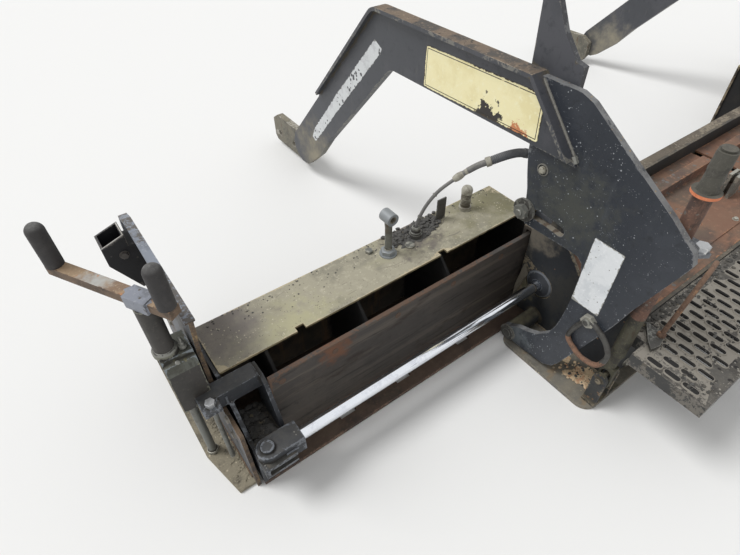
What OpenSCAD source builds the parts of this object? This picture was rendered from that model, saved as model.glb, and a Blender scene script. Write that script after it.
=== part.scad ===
// Asphalt paver screed: main screed, two hydraulic extensions with end gates, two tow arms.
// X runs along the screed, Y points forward along the tow arms, Z is up. All sizes in mm.
// The left side is drawn at negative X and mirrored for the right side.

/* [Build] */

// piece to build

/* [Main screed] */

// width of the main screed plate, end to end
main_w = 2440; // [1800:10:3000]
// front to rear depth of the main screed plate
main_depth = 400; // [300:5:500]
// thickness of the screed plates
plate_t = 15; // [10:1:20]
// thickness of the frame walls
wall_t = 12; // [8:1:16]
// how far the end walls stand in from the plate ends
end_inset = 170; // [140:5:200]
// height of the top deck of the main frame
main_deck_z = 330; // [280:5:360]
// top of the upright horns that carry the guide bolts
horn_z = 640; // [600:5:680]

/* [Extensions] */

// width of one extension plate
ext_w = 1232; // [900:2:1240]
// how far the extension plate ends outside the main plate
ext_out = 970; // [600:10:975]
// front to rear depth of the extension plate
ext_depth = 365; // [330:5:400]
// height of the extension deck
deck_z = 375; // [350:5:400]
// front to rear width of the extension deck
deck_w = 180; // [150:5:220]
// thickness of the slide plate that runs in the gibs
slide_t = 15; // [10:1:20]

/* [Cylinders] */

// height of the rods above the plates
rod_z = 195; // [180:5:215]
// diameter of the chrome rod
rod_d = 38; // [30:1:45]
// outer diameter of the cylinder barrel
barrel_d = 75; // [64:1:85]

/* [End gate] */

// height of the end gate plate
gate_h = 665; // [600:5:720]
// distance of the gate's front edge from the rod axis
gate_front = 670; // [600:10:760]
// width of the ski under the gate
ski_w = 88; // [60:2:96]
// diameter of the height screw
screw_d = 25; // [20:1:30]
// length of the long arm of the sliding crank
crank_long = 250; // [180:5:280]
// length of the short arm of the sliding crank
crank_short = 77; // [60:1:120]

/* [Tow arms] */

// thickness of the arm plate
arm_t = 20; // [14:1:24]
// thickness of the bent beam
beam_t = 32; // [24:1:40]
// height of the top of the beam
beam_z = 980; // [940:5:1020]
// depth of the beam and of its leg
beam_h = 190; // [150:5:200]
// width of the flange bar along the beam
flange_w = 55; // [42:1:62]
// thickness of the flange bar
flange_t = 12; // [8:1:16]
// distance from the rod axis to the corner where the leg starts
leg_y = 784; // [740:2:820]
// slope of the leg below level, in degrees
leg_a = 46.8; // [42:0.2:50]
// length of the leg along its outer edge
leg_len = 1140; // [1000:10:1180]
// reach of the tow coupler in front of the rod axis
tow_y = 1810; // [1720:10:1900]
// distance between the coupler's two pin holes
pin_gap = 152; // [110:2:170]
// diameter of the arm's pivot pin
pivot_d = 36; // [30:1:44]

/* [Walkway] */

// height of the walkway
walk_z = 322; // [280:2:330]
// front to rear width of the walkway
walk_w = 263; // [220:1:300]

/* [Hidden] */

$fn = 32;
eps = 0.3;
main_half = main_w / 2;
end_x = main_half - end_inset;
front_y = 73;
rear_y = -main_depth + 50;
rod_hole = barrel_d + 40;
slide_y = front_y + wall_t + 5;
slide_front = slide_y + slide_t;
slide_z0 = 70;
slide_z1 = deck_z - 5;
gib_front = slide_front + 5;
gib_z1 = slide_z1 + 10;
ext_x = main_half + ext_out;
ext_in = ext_x - ext_w;
ext_y0 = 20;
ext_y1 = ext_y0 + ext_depth;
board_t = 12;
deck_y1 = ext_y1 - 15;
deck_y0 = deck_y1 - deck_w;
deck_t = 8;
barrel_in = 4;
barrel_out = end_x - 15;
gate_x = ext_x + 9;
gate_t = 12;
ski_x = gate_x + gate_t + ski_w;
screw_x = gate_x + gate_t + 62;
screw_y = 212;
bar_y = 128;
bar_w = 52;
bar_z = deck_z - deck_t - bar_w;
bar_top = bar_z + bar_w;
bar_x = gate_x + gate_t + 51;
block_x = gate_x + gate_t + 6;
block_w = 80;
block_z1 = 525;
post_z = 690;
crank_z = 717;
pocket_y = gate_front - 170;
pocket_w = 72;
pivot_y = -22;
pivot_z = 50;
arm_x = main_half - 20;
arm_in = arm_x - arm_t;
guide_y = 36;
guide_z = 578;
guide_r = sqrt(pow(guide_y - pivot_y, 2) + pow(guide_z - pivot_z, 2));
guide_a = atan2(guide_z - pivot_z, guide_y - pivot_y);
beam_x = arm_in + flange_w;
beam_low = beam_z - beam_h;
coupler_t = 36;
lug_t = 18;
jack_x = arm_in - 32;
jack_y = rear_y - 25;
jack_pin_z = 138;
jack_pin_d = 20;
walk_half = arm_in - 8;
walk_y1 = rear_y - wall_t - 8;
walk_y0 = walk_y1 - walk_w;
notch_x = jack_x - 44;
notch_y = jack_y - 50;
skirt_h = 46;
y_mid = (tow_y + walk_y0 - 8) / 2;

steel = [0.30, 0.29, 0.27];
black = [0.09, 0.10, 0.12];
rust = [0.38, 0.22, 0.15];
olive = [0.42, 0.41, 0.34];
chrome = [0.82, 0.84, 0.86];
blue_gray = [0.36, 0.40, 0.46];
rubber = [0.16, 0.16, 0.17];
tan_rust = [0.55, 0.42, 0.32];
brass = [0.66, 0.58, 0.36];

// moves the rod axis frame so that the part stands centred on the origin
module stand() {
  translate([0, -y_mid, 0]) children();
}

module left() {
  stand() children();
}

module right() {
  mirror([1, 0, 0]) stand() children();
}

module both() {
  left() children();
  right() children();
}

// outline given as [y, z], thickness t along +X from x0
module side_plate(points, x0, t) {
  translate([x0, 0, 0]) rotate([90, 0, 90]) linear_extrude(height = t) polygon(points);
}

// outline given as [x, z], thickness t along +Y from y0
module cross_plate(points, y0, t) {
  translate([0, y0 + t, 0]) rotate([90, 0, 0]) linear_extrude(height = t) polygon(points);
}

module box(x0, x1, y0, y1, z0, z1) {
  translate([x0, y0, z0]) cube([x1 - x0, y1 - y0, z1 - z0]);
}

module round_x(x0, x1, y, z, d) {
  translate([x0, y, z]) rotate([0, 90, 0]) cylinder(h = x1 - x0, d = d);
}

module round_y(x, y0, y1, z, d) {
  translate([x, y1, z]) rotate([90, 0, 0]) cylinder(h = y1 - y0, d = d);
}

module round_z(x, y, z0, z1, d) {
  translate([x, y, z0]) cylinder(h = z1 - z0, d = d);
}

module hex_z(x, y, z0, z1, w) {
  translate([x, y, z0]) cylinder(h = z1 - z0, d = w / cos(30), $fn = 6);
}

module hex_x(x0, x1, y, z, w) {
  translate([x0, y, z]) rotate([0, 90, 0]) cylinder(h = x1 - x0, d = w / cos(30), $fn = 6);
}

// tube along a list of points, one ring per point
function unit(v) = v / norm(v);
function tangent(p, i) = unit(p[min(i + 1, len(p) - 1)] - p[max(i - 1, 0)]);
function ring(p, i, r, n) =
  let (t = tangent(p, i), a = unit(cross(t, [0.31, 0.2, 0.93])), b = cross(t, a))
  [for (k = [0:n - 1]) p[i] + r * (cos(360 * k / n) * a + sin(360 * k / n) * b)];
module tube(p, r, n) {
  m = len(p);
  rings = [for (i = [0:m - 1]) each ring(p, i, r, n)];
  sides = [for (i = [0:m - 2]) for (k = [0:n - 1])
    [i * n + k, i * n + (k + 1) % n, (i + 1) * n + (k + 1) % n, (i + 1) * n + k]];
  caps = [[for (k = [n - 1:-1:0]) k], [for (k = [0:n - 1]) (m - 1) * n + k]];
  polyhedron(points = rings, faces = concat(sides, caps), convexity = 6);
}

// Main screed

module plate_outline(half, y0, y1, r) {
  hull() for (x = [-half + r, half - r]) {
    translate([x, y0 + r]) circle(r);
    translate([x, y1 - r]) circle(r);
  }
}

module main_plate() {
  color(steel) stand() linear_extrude(height = plate_t) plate_outline(main_half, -main_depth, 0, 50);
}

module bulkhead(x, hole) {
  difference() {
    side_plate([[rear_y, plate_t], [-6, plate_t], [8, plate_t + 12], [front_y, plate_t + 12],
      [front_y, main_deck_z - 8], [rear_y, main_deck_z - 8]], x, wall_t);
    round_x(x - 1, x + wall_t + 1, 0, rod_z, hole);
    for (y = [-250, -140])
      round_x(x - 1, x + wall_t + 1, y, rod_z, 70);
  }
}

// end wall with its horn, the hole the rod runs through and the pin bosses
module end_wall() {
  difference() {
    union() {
      side_plate([[rear_y - wall_t, plate_t], [-6, plate_t], [8, plate_t + 12], [front_y + wall_t, plate_t + 12],
        [front_y + wall_t, main_deck_z + 90], [72, horn_z - 20], [56, horn_z], [-6, horn_z],
        [-28, horn_z - 30], [-60, main_deck_z + 90], [-130, main_deck_z + 12], [rear_y - wall_t, main_deck_z + 12]],
        -end_x - wall_t / 2, wall_t);
      round_x(-arm_in + eps, -end_x, pivot_y, pivot_z, 58);
      round_x(-arm_in + eps, -end_x, guide_y, guide_z, 50);
      // clevis ears for the depth jack
      for (x = [-jack_x - 36, -jack_x + 24])
        side_plate([[jack_y - 24, plate_t], [jack_y + 24, plate_t], [jack_y + 24, jack_pin_z + 12],
          [jack_y + 12, jack_pin_z + 27], [jack_y - 12, jack_pin_z + 27], [jack_y - 24, jack_pin_z + 12]], x, 12);
      round_x(-jack_x - 42, -jack_x + 42, jack_y, jack_pin_z, jack_pin_d);
      box(-jack_x - 42, -end_x, jack_y - 24, jack_y + 24, plate_t, plate_t + 10);
    }
    round_x(-end_x - wall_t, -end_x + wall_t, 0, rod_z, rod_hole);
  }
}

module main_frame() {
  color(black) {
    stand() {
      box(-end_x, end_x, front_y, front_y + wall_t, plate_t + 12, gib_z1 + 12);
      box(-end_x, end_x, rear_y - wall_t, rear_y, plate_t, main_deck_z);
    }
    both() {
      end_wall();
      for (x = [46, 380, 720])
        bulkhead(-x, barrel_d);
      // junction box on the inner face of the horn
      box(-end_x, -end_x + 86, -22, 50, horn_z - 130, horn_z - 40);
      round_y(-end_x + 46, 50, 66, horn_z - 84, 26);
    }
  }
}

module gib_rails() {
  color(steel) stand() {
    // lower rail: shelf and lip
    box(-end_x, end_x, front_y + wall_t, gib_front + 12, slide_z0 - 20, slide_z0 - 8);
    box(-end_x, end_x, gib_front, gib_front + 12, slide_z0 - 8, slide_z0 + 20);
    // upper rail: shelf and lip
    box(-end_x, end_x, front_y + wall_t, gib_front + 12, gib_z1, gib_z1 + 12);
    box(-end_x, end_x, gib_front, gib_front + 12, gib_z1 - 40, gib_z1);
  }
}

module main_deck() {
  color(rust) {
    both() {
      box(-end_x + wall_t / 2, -18, rear_y, front_y, main_deck_z - 8, main_deck_z);
      // service hatches
      for (x = [0.78, 0.45])
        difference() {
          box(-x * end_x - 150, -x * end_x + 150, -300, -120, main_deck_z, main_deck_z + 5);
          round_z(-x * end_x, -210, main_deck_z - 1, main_deck_z + 6, 30);
        }
      // stiffening angle along the front edge of the deck
      box(-end_x + 60, -80, -40, -34, main_deck_z, main_deck_z + 42);
      box(-end_x + 60, -80, -34, 4, main_deck_z + 36, main_deck_z + 42);
    }
  }
}

module cylinder_barrels() {
  color(black) both() difference() {
    union() {
      round_x(-barrel_out, -barrel_in, 0, rod_z, barrel_d);
      round_x(-barrel_out, -barrel_out + 46, 0, rod_z, barrel_d + 14);
    }
    round_x(-barrel_out - 1, -barrel_out + 50, 0, rod_z, rod_d + 2 * eps);
    round_x(-barrel_out + 45, -barrel_in - 6, 0, rod_z, barrel_d - 16);
  }
}

module pivot_pins() {
  color(olive) both() {
    round_x(-arm_x - 8, -arm_in + eps, pivot_y, pivot_z, pivot_d);
    round_x(-arm_x - 8, -arm_x - eps, pivot_y, pivot_z, 58);
  }
}

module guide_bolts() {
  color(steel) both() {
    round_x(-arm_x - 26, -arm_in + eps, guide_y, guide_z, 28);
    round_x(-arm_x - 8, -arm_x - eps, guide_y, guide_z, 76);
    hex_x(-arm_x - 26, -arm_x - 8, guide_y, guide_z, 42);
  }
}

// edge of the step plate, notched at its front corners for the depth jacks
module step_outline() {
  polygon([[-walk_half, walk_y0], [-walk_half, notch_y], [-notch_x, notch_y], [-notch_x, walk_y1],
    [notch_x, walk_y1], [notch_x, notch_y], [walk_half, notch_y], [walk_half, walk_y0]]);
}

// rows of raised slots, four and three in turn
module walkway() {
  rows = 58;
  pitch = 2 * (notch_x - 24) / (rows - 1);
  step = (walk_w - 48) / 4;
  color(steel) stand() translate([0, 0, walk_z - 6]) linear_extrude(height = 6) difference() {
    step_outline();
    for (i = [0:rows - 1])
      for (j = [0:3 - i % 2])
        translate([-notch_x + 24 + i * pitch, walk_y0 + 24 + (j + 0.5 + (i % 2) / 2) * step])
          square([12, step - 13], center = true);
  }
}

module walkway_frame() {
  color(black) {
    stand() translate([0, 0, walk_z - skirt_h]) linear_extrude(height = skirt_h) difference() {
      offset(delta = 8) step_outline();
      step_outline();
    }
    // gussets under the step plate, against the rear wall
    both() for (x = [880, 300])
      side_plate([[walk_y0 + 40, walk_z - 6], [walk_y1, walk_z - 6], [walk_y1, walk_z - skirt_h],
        [rear_y - wall_t, walk_z - skirt_h], [rear_y - wall_t, walk_z - 180], [rear_y - wall_t - 24, walk_z - 180],
        [walk_y0 + 40, walk_z - skirt_h]], -x, 10);
  }
}

module crown_turnbuckle() {
  color(steel) {
    both() {
      for (y = [-196, -170])
        side_plate([[y, main_deck_z], [y + 12, main_deck_z], [y + 12, main_deck_z + 96], [y, main_deck_z + 96]],
          -230, 60);
      round_x(-200, -60, -177, main_deck_z + 66, 26);
      translate([-200, -158, main_deck_z + 66]) rotate([90, 0, 0]) cylinder(h = 38, d = 30);
    }
    stand() {
      translate([-75, -177, main_deck_z + 66]) rotate([0, 90, 0]) cylinder(h = 150, d = 46, $fn = 6);
    }
  }
}

// Extensions

module ext_plate() {
  color(steel) difference() {
    box(-ext_x, -ext_in, ext_y0, ext_y1, 0, plate_t);
    for (x = [0.27, 0.46, 0.69])
      box(-ext_x + x * ext_w - 30, -ext_x + x * ext_w + 30, ext_y0 + 42, ext_y0 + 60, -1, plate_t + 1);
  }
}

module ext_frame() {
  color(rust) {
    box(-ext_x + 110, -ext_in, slide_y, slide_front, slide_z0, slide_z1);
    box(-ext_x + 12, -ext_in, ext_y1 - 15, ext_y1 - 3, plate_t, deck_z - deck_t);
    for (x = [0.12, 0.38, 0.66, 0.985])
      side_plate([[gib_front + 20, plate_t], [ext_y1 - 15, plate_t], [ext_y1 - 15, deck_z - deck_t],
        [deck_y0 + 12, deck_z - deck_t], [slide_front, deck_z - 110], [slide_front, slide_z0 + 42],
        [gib_front + 20, slide_z0 + 32]], -ext_x + x * ext_w, 10);
  }
}

module ext_deck() {
  color(olive) difference() {
    box(-ext_x + 12, -ext_in, deck_y0, ext_y1 - 3, deck_z - deck_t, deck_z);
    for (x = [0.22, 0.67])
      box(-ext_x + x * ext_w - 14, -ext_x + x * ext_w + 14, deck_y0 - 1, deck_y0 + 18, deck_z - 20, deck_z + 1);
  }
}

module ext_end() {
  pin_x = -ext_x + 34;
  color(black) {
    // end wall
    side_plate([[ext_y0, plate_t], [ext_y0, 155], [-45, 155], [-45, rod_z + 5], [64, rod_z + 5], [bar_y, bar_z],
      [deck_y0 - 8, bar_z], [deck_y0, deck_z - deck_t], [ext_y1 - 3, deck_z - deck_t], [ext_y1 - 3, plate_t]],
      -ext_x, 12);
    // floor and seat plate under the rod's clevis
    box(-ext_x + 12, -ext_x + 98, -45, slide_y, 155, 165);
    box(-ext_x + 12, -ext_x + 98, -45, 50, rod_z - 9, rod_z + 5);
    // inner side wall
    side_plate([[44, 155], [50, rod_z + 5], [104, deck_z - 28], [bar_y, deck_z - 14], [deck_y0 - 8, deck_z - 14],
      [deck_y0 - 8, 155]], -ext_x + 98, 12);
    box(-ext_x + 12, -ext_x + 98, slide_y, deck_y0 - 8, 155, 165);
    // cross bar that carries the height jack
    box(-bar_x, -ext_x + 98, bar_y, bar_y + bar_w, bar_z, bar_top);
    // lug on the cross bar, its bolt and the locking rod that hangs from it
    box(-bar_x, -bar_x + 48, bar_y - 36, bar_y, bar_top - 14, bar_top);
    hex_z(-bar_x + 26, bar_y - 12, bar_top, bar_top + 16, 24);
    round_z(-bar_x + 27, bar_y - 16, 96, bar_top - 10, 14);
    // clevis
    difference() {
      union() {
        box(pin_x, -ext_x + 132, -33, 33, 165, rod_z + 32);
        round_z(pin_x, 0, 165, rod_z + 32, 66);
      }
      round_x(-ext_x + 110, -ext_x + 133, 0, rod_z, rod_d);
    }
    round_z(pin_x, 0, rod_z + 32, rod_z + 42, 38);
  }
}

module rod() {
  color(chrome) round_x(-ext_x + 110, -end_x + 80, 0, rod_z, rod_d);
}

module jack_block() {
  back = screw_y - 52;
  color(olive) difference() {
    union() {
      // housing that rests on the cross bar, with a lip along its rear top edge
      side_plate([[back, bar_top], [bar_y + bar_w, bar_top], [bar_y + bar_w, bar_z + 15], [screw_y + 36, bar_z + 15],
        [screw_y + 36, bar_top], [screw_y + 56, bar_top + 24], [screw_y + 56, block_z1 - 28], [screw_y + 44, block_z1],
        [back + 21, block_z1], [back + 18, block_z1 - 10], [back + 8, block_z1 - 14], [back + 2, block_z1 - 26],
        [back, block_z1 - 42]], -block_x - block_w, block_w);
      // cheek past the end of the cross bar
      box(-block_x - block_w, -bar_x, back, bar_y + bar_w, bar_z + 15, bar_top);
      round_z(-screw_x, screw_y, block_z1, block_z1 + 12, 62);
      round_z(-screw_x, screw_y, block_z1, post_z, 50);
    }
    round_z(-screw_x, screw_y, bar_z, post_z - 8, screw_d + 2 * eps);
  }
}

module crank_end(len, dir) {
  translate([-screw_x, screw_y, crank_z]) rotate([0, 0, dir]) translate([len, 0, 0]) children();
}

module crank() {
  color(tan_rust) {
    translate([-screw_x, screw_y, crank_z]) rotate([0, 0, 120]) {
      translate([-crank_short - 18, -16, -20]) cube([crank_short + crank_long + 36, 32, 26]);
      // hub on the post
      translate([-32, -21, post_z - crank_z]) cube([64, 42, crank_z - post_z + 9]);
    }
  }
}

module crank_grips() {
  color(rubber) for (g = [[crank_long, 120], [crank_short, 300]])
    crank_end(g[0], g[1]) {
      translate([0, 0, 6]) cylinder(h = 98, d = 42);
      translate([0, 0, 104]) sphere(d = 42);
    }
}

module deck_fittings() {
  color(brass) {
    // eye bolt with its nut
    round_z(-ext_x + 673, deck_y0 + 112, deck_z, deck_z + 146, 24);
    hex_z(-ext_x + 673, deck_y0 + 112, deck_z, deck_z + 22, 44);
    round_x(-ext_x + 649, -ext_x + 697, deck_y0 + 112, deck_z + 154, 44);
    // cable gland
    difference() {
      round_z(-ext_x + gland_x, deck_y0 + gland_y, deck_z, deck_z + 18, 44);
      round_z(-ext_x + gland_x, deck_y0 + gland_y, deck_z - 1, deck_z + 19, 20);
    }
    // cable tab and socket
    box(-ext_x + 917, -ext_x + 957, deck_y0 + 145, deck_y0 + 151, deck_z, deck_z + 90);
    round_z(-ext_x + 1052, deck_y0 + 141, deck_z, deck_z + 86, 32);
    // small bolt heads
    hex_z(-ext_x + 625, deck_y0 + 156, deck_z, deck_z + 10, 24);
    round_z(-ext_x + 756, deck_y0 + 99, deck_z, deck_z + 6, 34);
  }
}

// from the gland on the deck to the gland on the junction box, as shares of the way in x, y and z
gland_x = 803;
gland_y = 126;
cable_from = [-ext_x + gland_x, deck_y0 + gland_y, deck_z];
cable_to = [-end_x + 46, 66, horn_z - 84];
cable_shares = [
  [0, 0, 0], [0, 0, 0.20], [0.01, 0.01, 0.36], [0.05, 0.04, 0.62], [0.10, 0.09, 0.86], [0.16, 0.14, 1.04],
  [0.23, 0.22, 1.22], [0.32, 0.31, 1.40], [0.40, 0.40, 1.54], [0.48, 0.48, 1.62], [0.58, 0.53, 1.66],
  [0.68, 0.55, 1.65], [0.78, 0.56, 1.60], [0.88, 0.58, 1.51], [0.95, 0.62, 1.37], [0.99, 0.68, 1.22],
  [1, 0.76, 1.09], [1, 0.84, 1.01], [1, 0.92, 1], [1, 1, 1]
];
cable_route = [for (p = cable_shares) [for (i = [0:2]) cable_from[i] + (cable_to[i] - cable_from[i]) * p[i]]];

module cable() {
  color(rubber) tube(cable_route, 9, 10);
}

// End gates

module gate_plate() {
  color(steel) {
    side_plate([[30, 0], [30, bar_z - 20], [bar_y + bar_w + 7, bar_z - 20], [bar_y + bar_w + 7, 495], [125, gate_h],
      [gate_front - 100, gate_h], [gate_front - 40, gate_h - 22], [gate_front - 8, gate_h - 70], [gate_front, gate_h - 130],
      [gate_front, 140], [gate_front - 12, 60], [gate_front - 60, 0]], -gate_x - gate_t, gate_t);
    // top band
    side_plate([[125, gate_h], [118, gate_h + 12], [gate_front - 98, gate_h + 12], [gate_front - 32, gate_h - 14],
      [gate_front + 4, gate_h - 66], [gate_front + 12, gate_h - 130], [gate_front, gate_h - 130],
      [gate_front - 8, gate_h - 70], [gate_front - 40, gate_h - 22], [gate_front - 100, gate_h]],
      -gate_x - gate_t - 8, 24);
    // ski with an upturned nose and a tapered tail
    difference() {
      side_plate([[42, 0], [42, 12], [gate_front - 66, 12], [gate_front - 22, 64], [gate_front - 10, 60], [gate_front - 60, 0]],
        -ski_x, ski_w);
      translate([0, 0, -1]) linear_extrude(height = 14)
        polygon([[-ski_x - 1, 41], [-ski_x + 36, 41], [-ski_x, 206], [-ski_x - 1, 206]]);
    }
  }
}

// socket for a marker, open at the top, with a slanting outer wall
module gate_pocket() {
  out = gate_x + gate_t + 87;
  in = gate_x + gate_t + 22;
  color(black) difference() {
    cross_plate([[-out, gate_h - 5], [-in, gate_h + 15], [-in, gate_h - 20], [-gate_x - gate_t, gate_h - 20],
      [-gate_x - gate_t, gate_h - 170], [-gate_x - gate_t - 30, gate_h - 170], [-out, gate_h - 62]], pocket_y, pocket_w);
    cross_plate([[-out + 6, gate_h + 20], [-in - 6, gate_h + 20], [-in - 6, gate_h - 110], [-in - 20, gate_h - 128],
      [-out + 6, gate_h - 64]], pocket_y + 6, pocket_w - 12);
  }
}

module gate_screw() {
  color(olive) {
    round_z(-screw_x, screw_y, 12, post_z - 40, screw_d);
    round_z(-screw_x, screw_y, 12, 26, 34);
  }
}

// Tow arms

// seam between arm plate and beam, which leans forward
function seam_y(z) = -88 + (z - beam_low) * tan(43);
// point on the leg, s along its outer edge and w in from it
function leg(s, w) = [leg_y + s * cos(leg_a) - w * sin(leg_a), beam_z - s * sin(leg_a) - w * cos(leg_a)];
// arc about a centre [y, z] from angle a0 to a1
function arc(c, r, a0, a1) = [for (i = [0:4]) c + r * [cos(a0 + (a1 - a0) * i / 4), sin(a0 + (a1 - a0) * i / 4)]];

bend_r = 60;
throat_r = 60;
flange_end = leg_len - 520;
outer_arc = arc([leg_y - bend_r * tan(leg_a / 2), beam_z - bend_r], bend_r, 90, 90 - leg_a);
throat = leg(beam_h * tan(leg_a / 2), beam_h) - throat_r * [tan(leg_a / 2), 1];
inner_arc = arc(throat, throat_r, 90 - leg_a, 90);

module beam_outline() {
  polygon(concat([[seam_y(beam_low), beam_low], [seam_y(beam_z), beam_z]], outer_arc, [
    leg(flange_end, 0), leg(flange_end + 24, flange_t), leg(leg_len - 90, flange_t), leg(leg_len - 34, 32), leg(leg_len - 5, 70),
    leg(leg_len - 1, 110), leg(leg_len - 16, 146), leg(leg_len - 46, 174), leg(leg_len - 90, beam_h),
    leg(leg_len - 240, beam_h + 14), leg(leg_len - 400, beam_h + 2)], inner_arc));
}

// the strip of the outline that the flange bar covers: seam, top edge and leg down to the flange's end
module flange_outline() {
  difference() {
    intersection() {
      beam_outline();
      polygon([[seam_y(beam_low) - 30, beam_low + 14], [seam_y(beam_low) + 60, beam_low + 14], [seam_y(beam_z) + 60, beam_z - 60],
        [leg_y - 90, beam_z - 60], leg(flange_end, 60), leg(flange_end, -20), [leg_y, beam_z + 20],
        [seam_y(beam_low) - 30, beam_z + 20]]);
    }
    offset(delta = -flange_t) beam_outline();
  }
}

arm_points = [
  [jack_y - 62, 675], [jack_y - 68, 698], [jack_y - 56, 728], [-353, 785], [-243, 853], [-77, beam_z - 21], [-38, beam_z - 8],
  [seam_y(beam_z - 8), beam_z - 8], [seam_y(beam_low), beam_low], [74, beam_low],
  [72, 758], [60, 700], [46, 646], [34, 560], [26, 530], [-140, 536], [-172, 534], [-190, 520], [-199, 490],
  [-201, 400], [-195, 309], [-186, 243], [-169, 189], [-131, 142], [-90, 120], [-52, 106], [-10, 74],
  [-36, 24], [-100, 26], [-191, 38], [-220, 60], [-236, 89], [-281, 209], [-343, 384], [jack_y + 8, 471]
];

// ring sector about the pivot that the guide bolt travels in, open at the front edge
module guide_slot() {
  intersection() {
    difference() {
      round_x(-arm_x - 1, -arm_in + 1, pivot_y, pivot_z, 2 * guide_r + 34);
      round_x(-arm_x - 2, -arm_in + 2, pivot_y, pivot_z, 2 * guide_r - 34);
    }
    side_plate([[pivot_y, pivot_z], [pivot_y, pivot_z] + 2 * guide_r * [cos(guide_a - 8), sin(guide_a - 8)],
      [pivot_y, pivot_z] + 2 * guide_r * [cos(guide_a + 14), sin(guide_a + 14)]], -arm_x - 1, arm_t + 2);
  }
  round_x(-arm_x - 1, -arm_in + 1, pivot_y + guide_r * cos(guide_a + 14), pivot_z + guide_r * sin(guide_a + 14), 34);
}

module arm_plate() {
  color(black) difference() {
    union() {
      side_plate(arm_points, -arm_x, arm_t);
      round_x(-arm_x, -arm_in, pivot_y, pivot_z, 60);
    }
    round_x(-arm_x - 1, -arm_in + 1, pivot_y, pivot_z, pivot_d + 2 * eps);
    guide_slot();
    round_x(-arm_x - 1, -arm_in + 1, 10, 731, 30);
  }
}

module arm_beam() {
  color(black) {
    translate([-arm_in - beam_t, 0, 0]) rotate([90, 0, 90]) linear_extrude(height = beam_t) beam_outline();
    translate([-beam_x, 0, 0]) rotate([90, 0, 90]) linear_extrude(height = flange_w) flange_outline();
    // lift lug on the inner face
    difference() {
      side_plate([[-16, beam_z - 80], [-16, beam_z + 38], [10, beam_z + 44], [61, beam_z + 99], [94, beam_z + 158],
        [98, beam_z + 196], [112, beam_z + 214], [134, beam_z + 212], [146, beam_z + 190], [140, beam_z + 54],
        [136, beam_z - 80]], -arm_in, lug_t);
      round_x(-arm_in - 1, -arm_in + lug_t + 1, 120, beam_z + 184, 30);
    }
  }
}

// plate behind the leg's tip, with the two holes for the pins of the pull arm
module tow_coupler() {
  y0 = round(leg(leg_len - 90, beam_h)[0]) + 60;
  z = round(leg(leg_len, 0)[1]);
  color(blue_gray) difference() {
    side_plate([[y0, z - 89], [y0, z + 1], [y0 + 60, z + 35], [tow_y - 50, z + 35], [tow_y, z + 1], [tow_y, z - 103],
      [tow_y - 24, z - 125], [y0 + 24, z - 125]], -arm_in, coupler_t);
    for (y = [tow_y - 65 - pin_gap, tow_y - 65])
      round_x(-arm_in - 1, -arm_in + coupler_t + 1, y, z - 69, 36);
  }
}

module depth_jack() {
  color(rust) {
    difference() {
      union() {
        round_z(-jack_x, jack_y, 250, 846, 44);
        round_z(-jack_x, jack_y, 190, 252, 32);
        box(-jack_x - 12, -jack_x + 12, jack_y - 23, jack_y + 23, jack_pin_z - 40, jack_pin_z + 56);
      }
      hull() for (z = [jack_pin_z - 10, jack_pin_z + 20])
        round_x(-jack_x - 13, -jack_x + 13, jack_y, z, jack_pin_d + 14);
    }
    round_z(-jack_x, jack_y, 846, 854, 66);
    round_z(-jack_x, jack_y, 854, 954, 46);
    round_z(-jack_x, jack_y, 954, 960, 34);
    // lug and bracket that bolt the jack to the arm plate
    box(-arm_in, -jack_x, jack_y - 10, jack_y + 10, beam_low - 162, beam_low - 138);
    translate([0, 0, beam_low - 82]) linear_extrude(height = 12)
      polygon([[-arm_in, jack_y + 10], [-arm_in, jack_y - 60], [-jack_x - 7, jack_y - 77], [-jack_x + 20, jack_y - 44],
        [-jack_x + 20, jack_y + 10]]);
    hex_z(-jack_x - 9, jack_y - 54, beam_low - 70, beam_low - 56, 30);
  }
}

main_plate();
main_frame();
gib_rails();
main_deck();
cylinder_barrels();
pivot_pins();
guide_bolts();
walkway();
walkway_frame();
crown_turnbuckle();
left() ext_plate();  // left_ext_plate
left() ext_frame();  // left_ext_frame
left() ext_deck();  // left_ext_deck
left() ext_end();  // left_ext_end
left() rod();  // left_rod
left() jack_block();  // left_jack_block
left() crank();  // left_crank
left() crank_grips();  // left_crank_grips
left() deck_fittings();  // left_deck_fittings
left() cable();  // left_cable
left() gate_plate();  // left_gate_plate
left() gate_pocket();  // left_gate_pocket
left() gate_screw();  // left_gate_screw
left() arm_plate();  // left_arm_plate
left() arm_beam();  // left_arm_beam
left() tow_coupler();  // left_tow_coupler
left() depth_jack();  // left_depth_jack
right() ext_plate();  // right_ext_plate
right() ext_frame();  // right_ext_frame
right() ext_deck();  // right_ext_deck
right() ext_end();  // right_ext_end
right() rod();  // right_rod
right() jack_block();  // right_jack_block
right() crank();  // right_crank
right() crank_grips();  // right_crank_grips
right() deck_fittings();  // right_deck_fittings
right() cable();  // right_cable
right() gate_plate();  // right_gate_plate
right() gate_pocket();  // right_gate_pocket
right() gate_screw();  // right_gate_screw
right() arm_plate();  // right_arm_plate
right() arm_beam();  // right_arm_beam
right() tow_coupler();  // right_tow_coupler
right() depth_jack();  // right_depth_jack
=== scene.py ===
import math
import random

import bmesh
import bpy
from mathutils import Matrix, Vector, kdtree, noise


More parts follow.
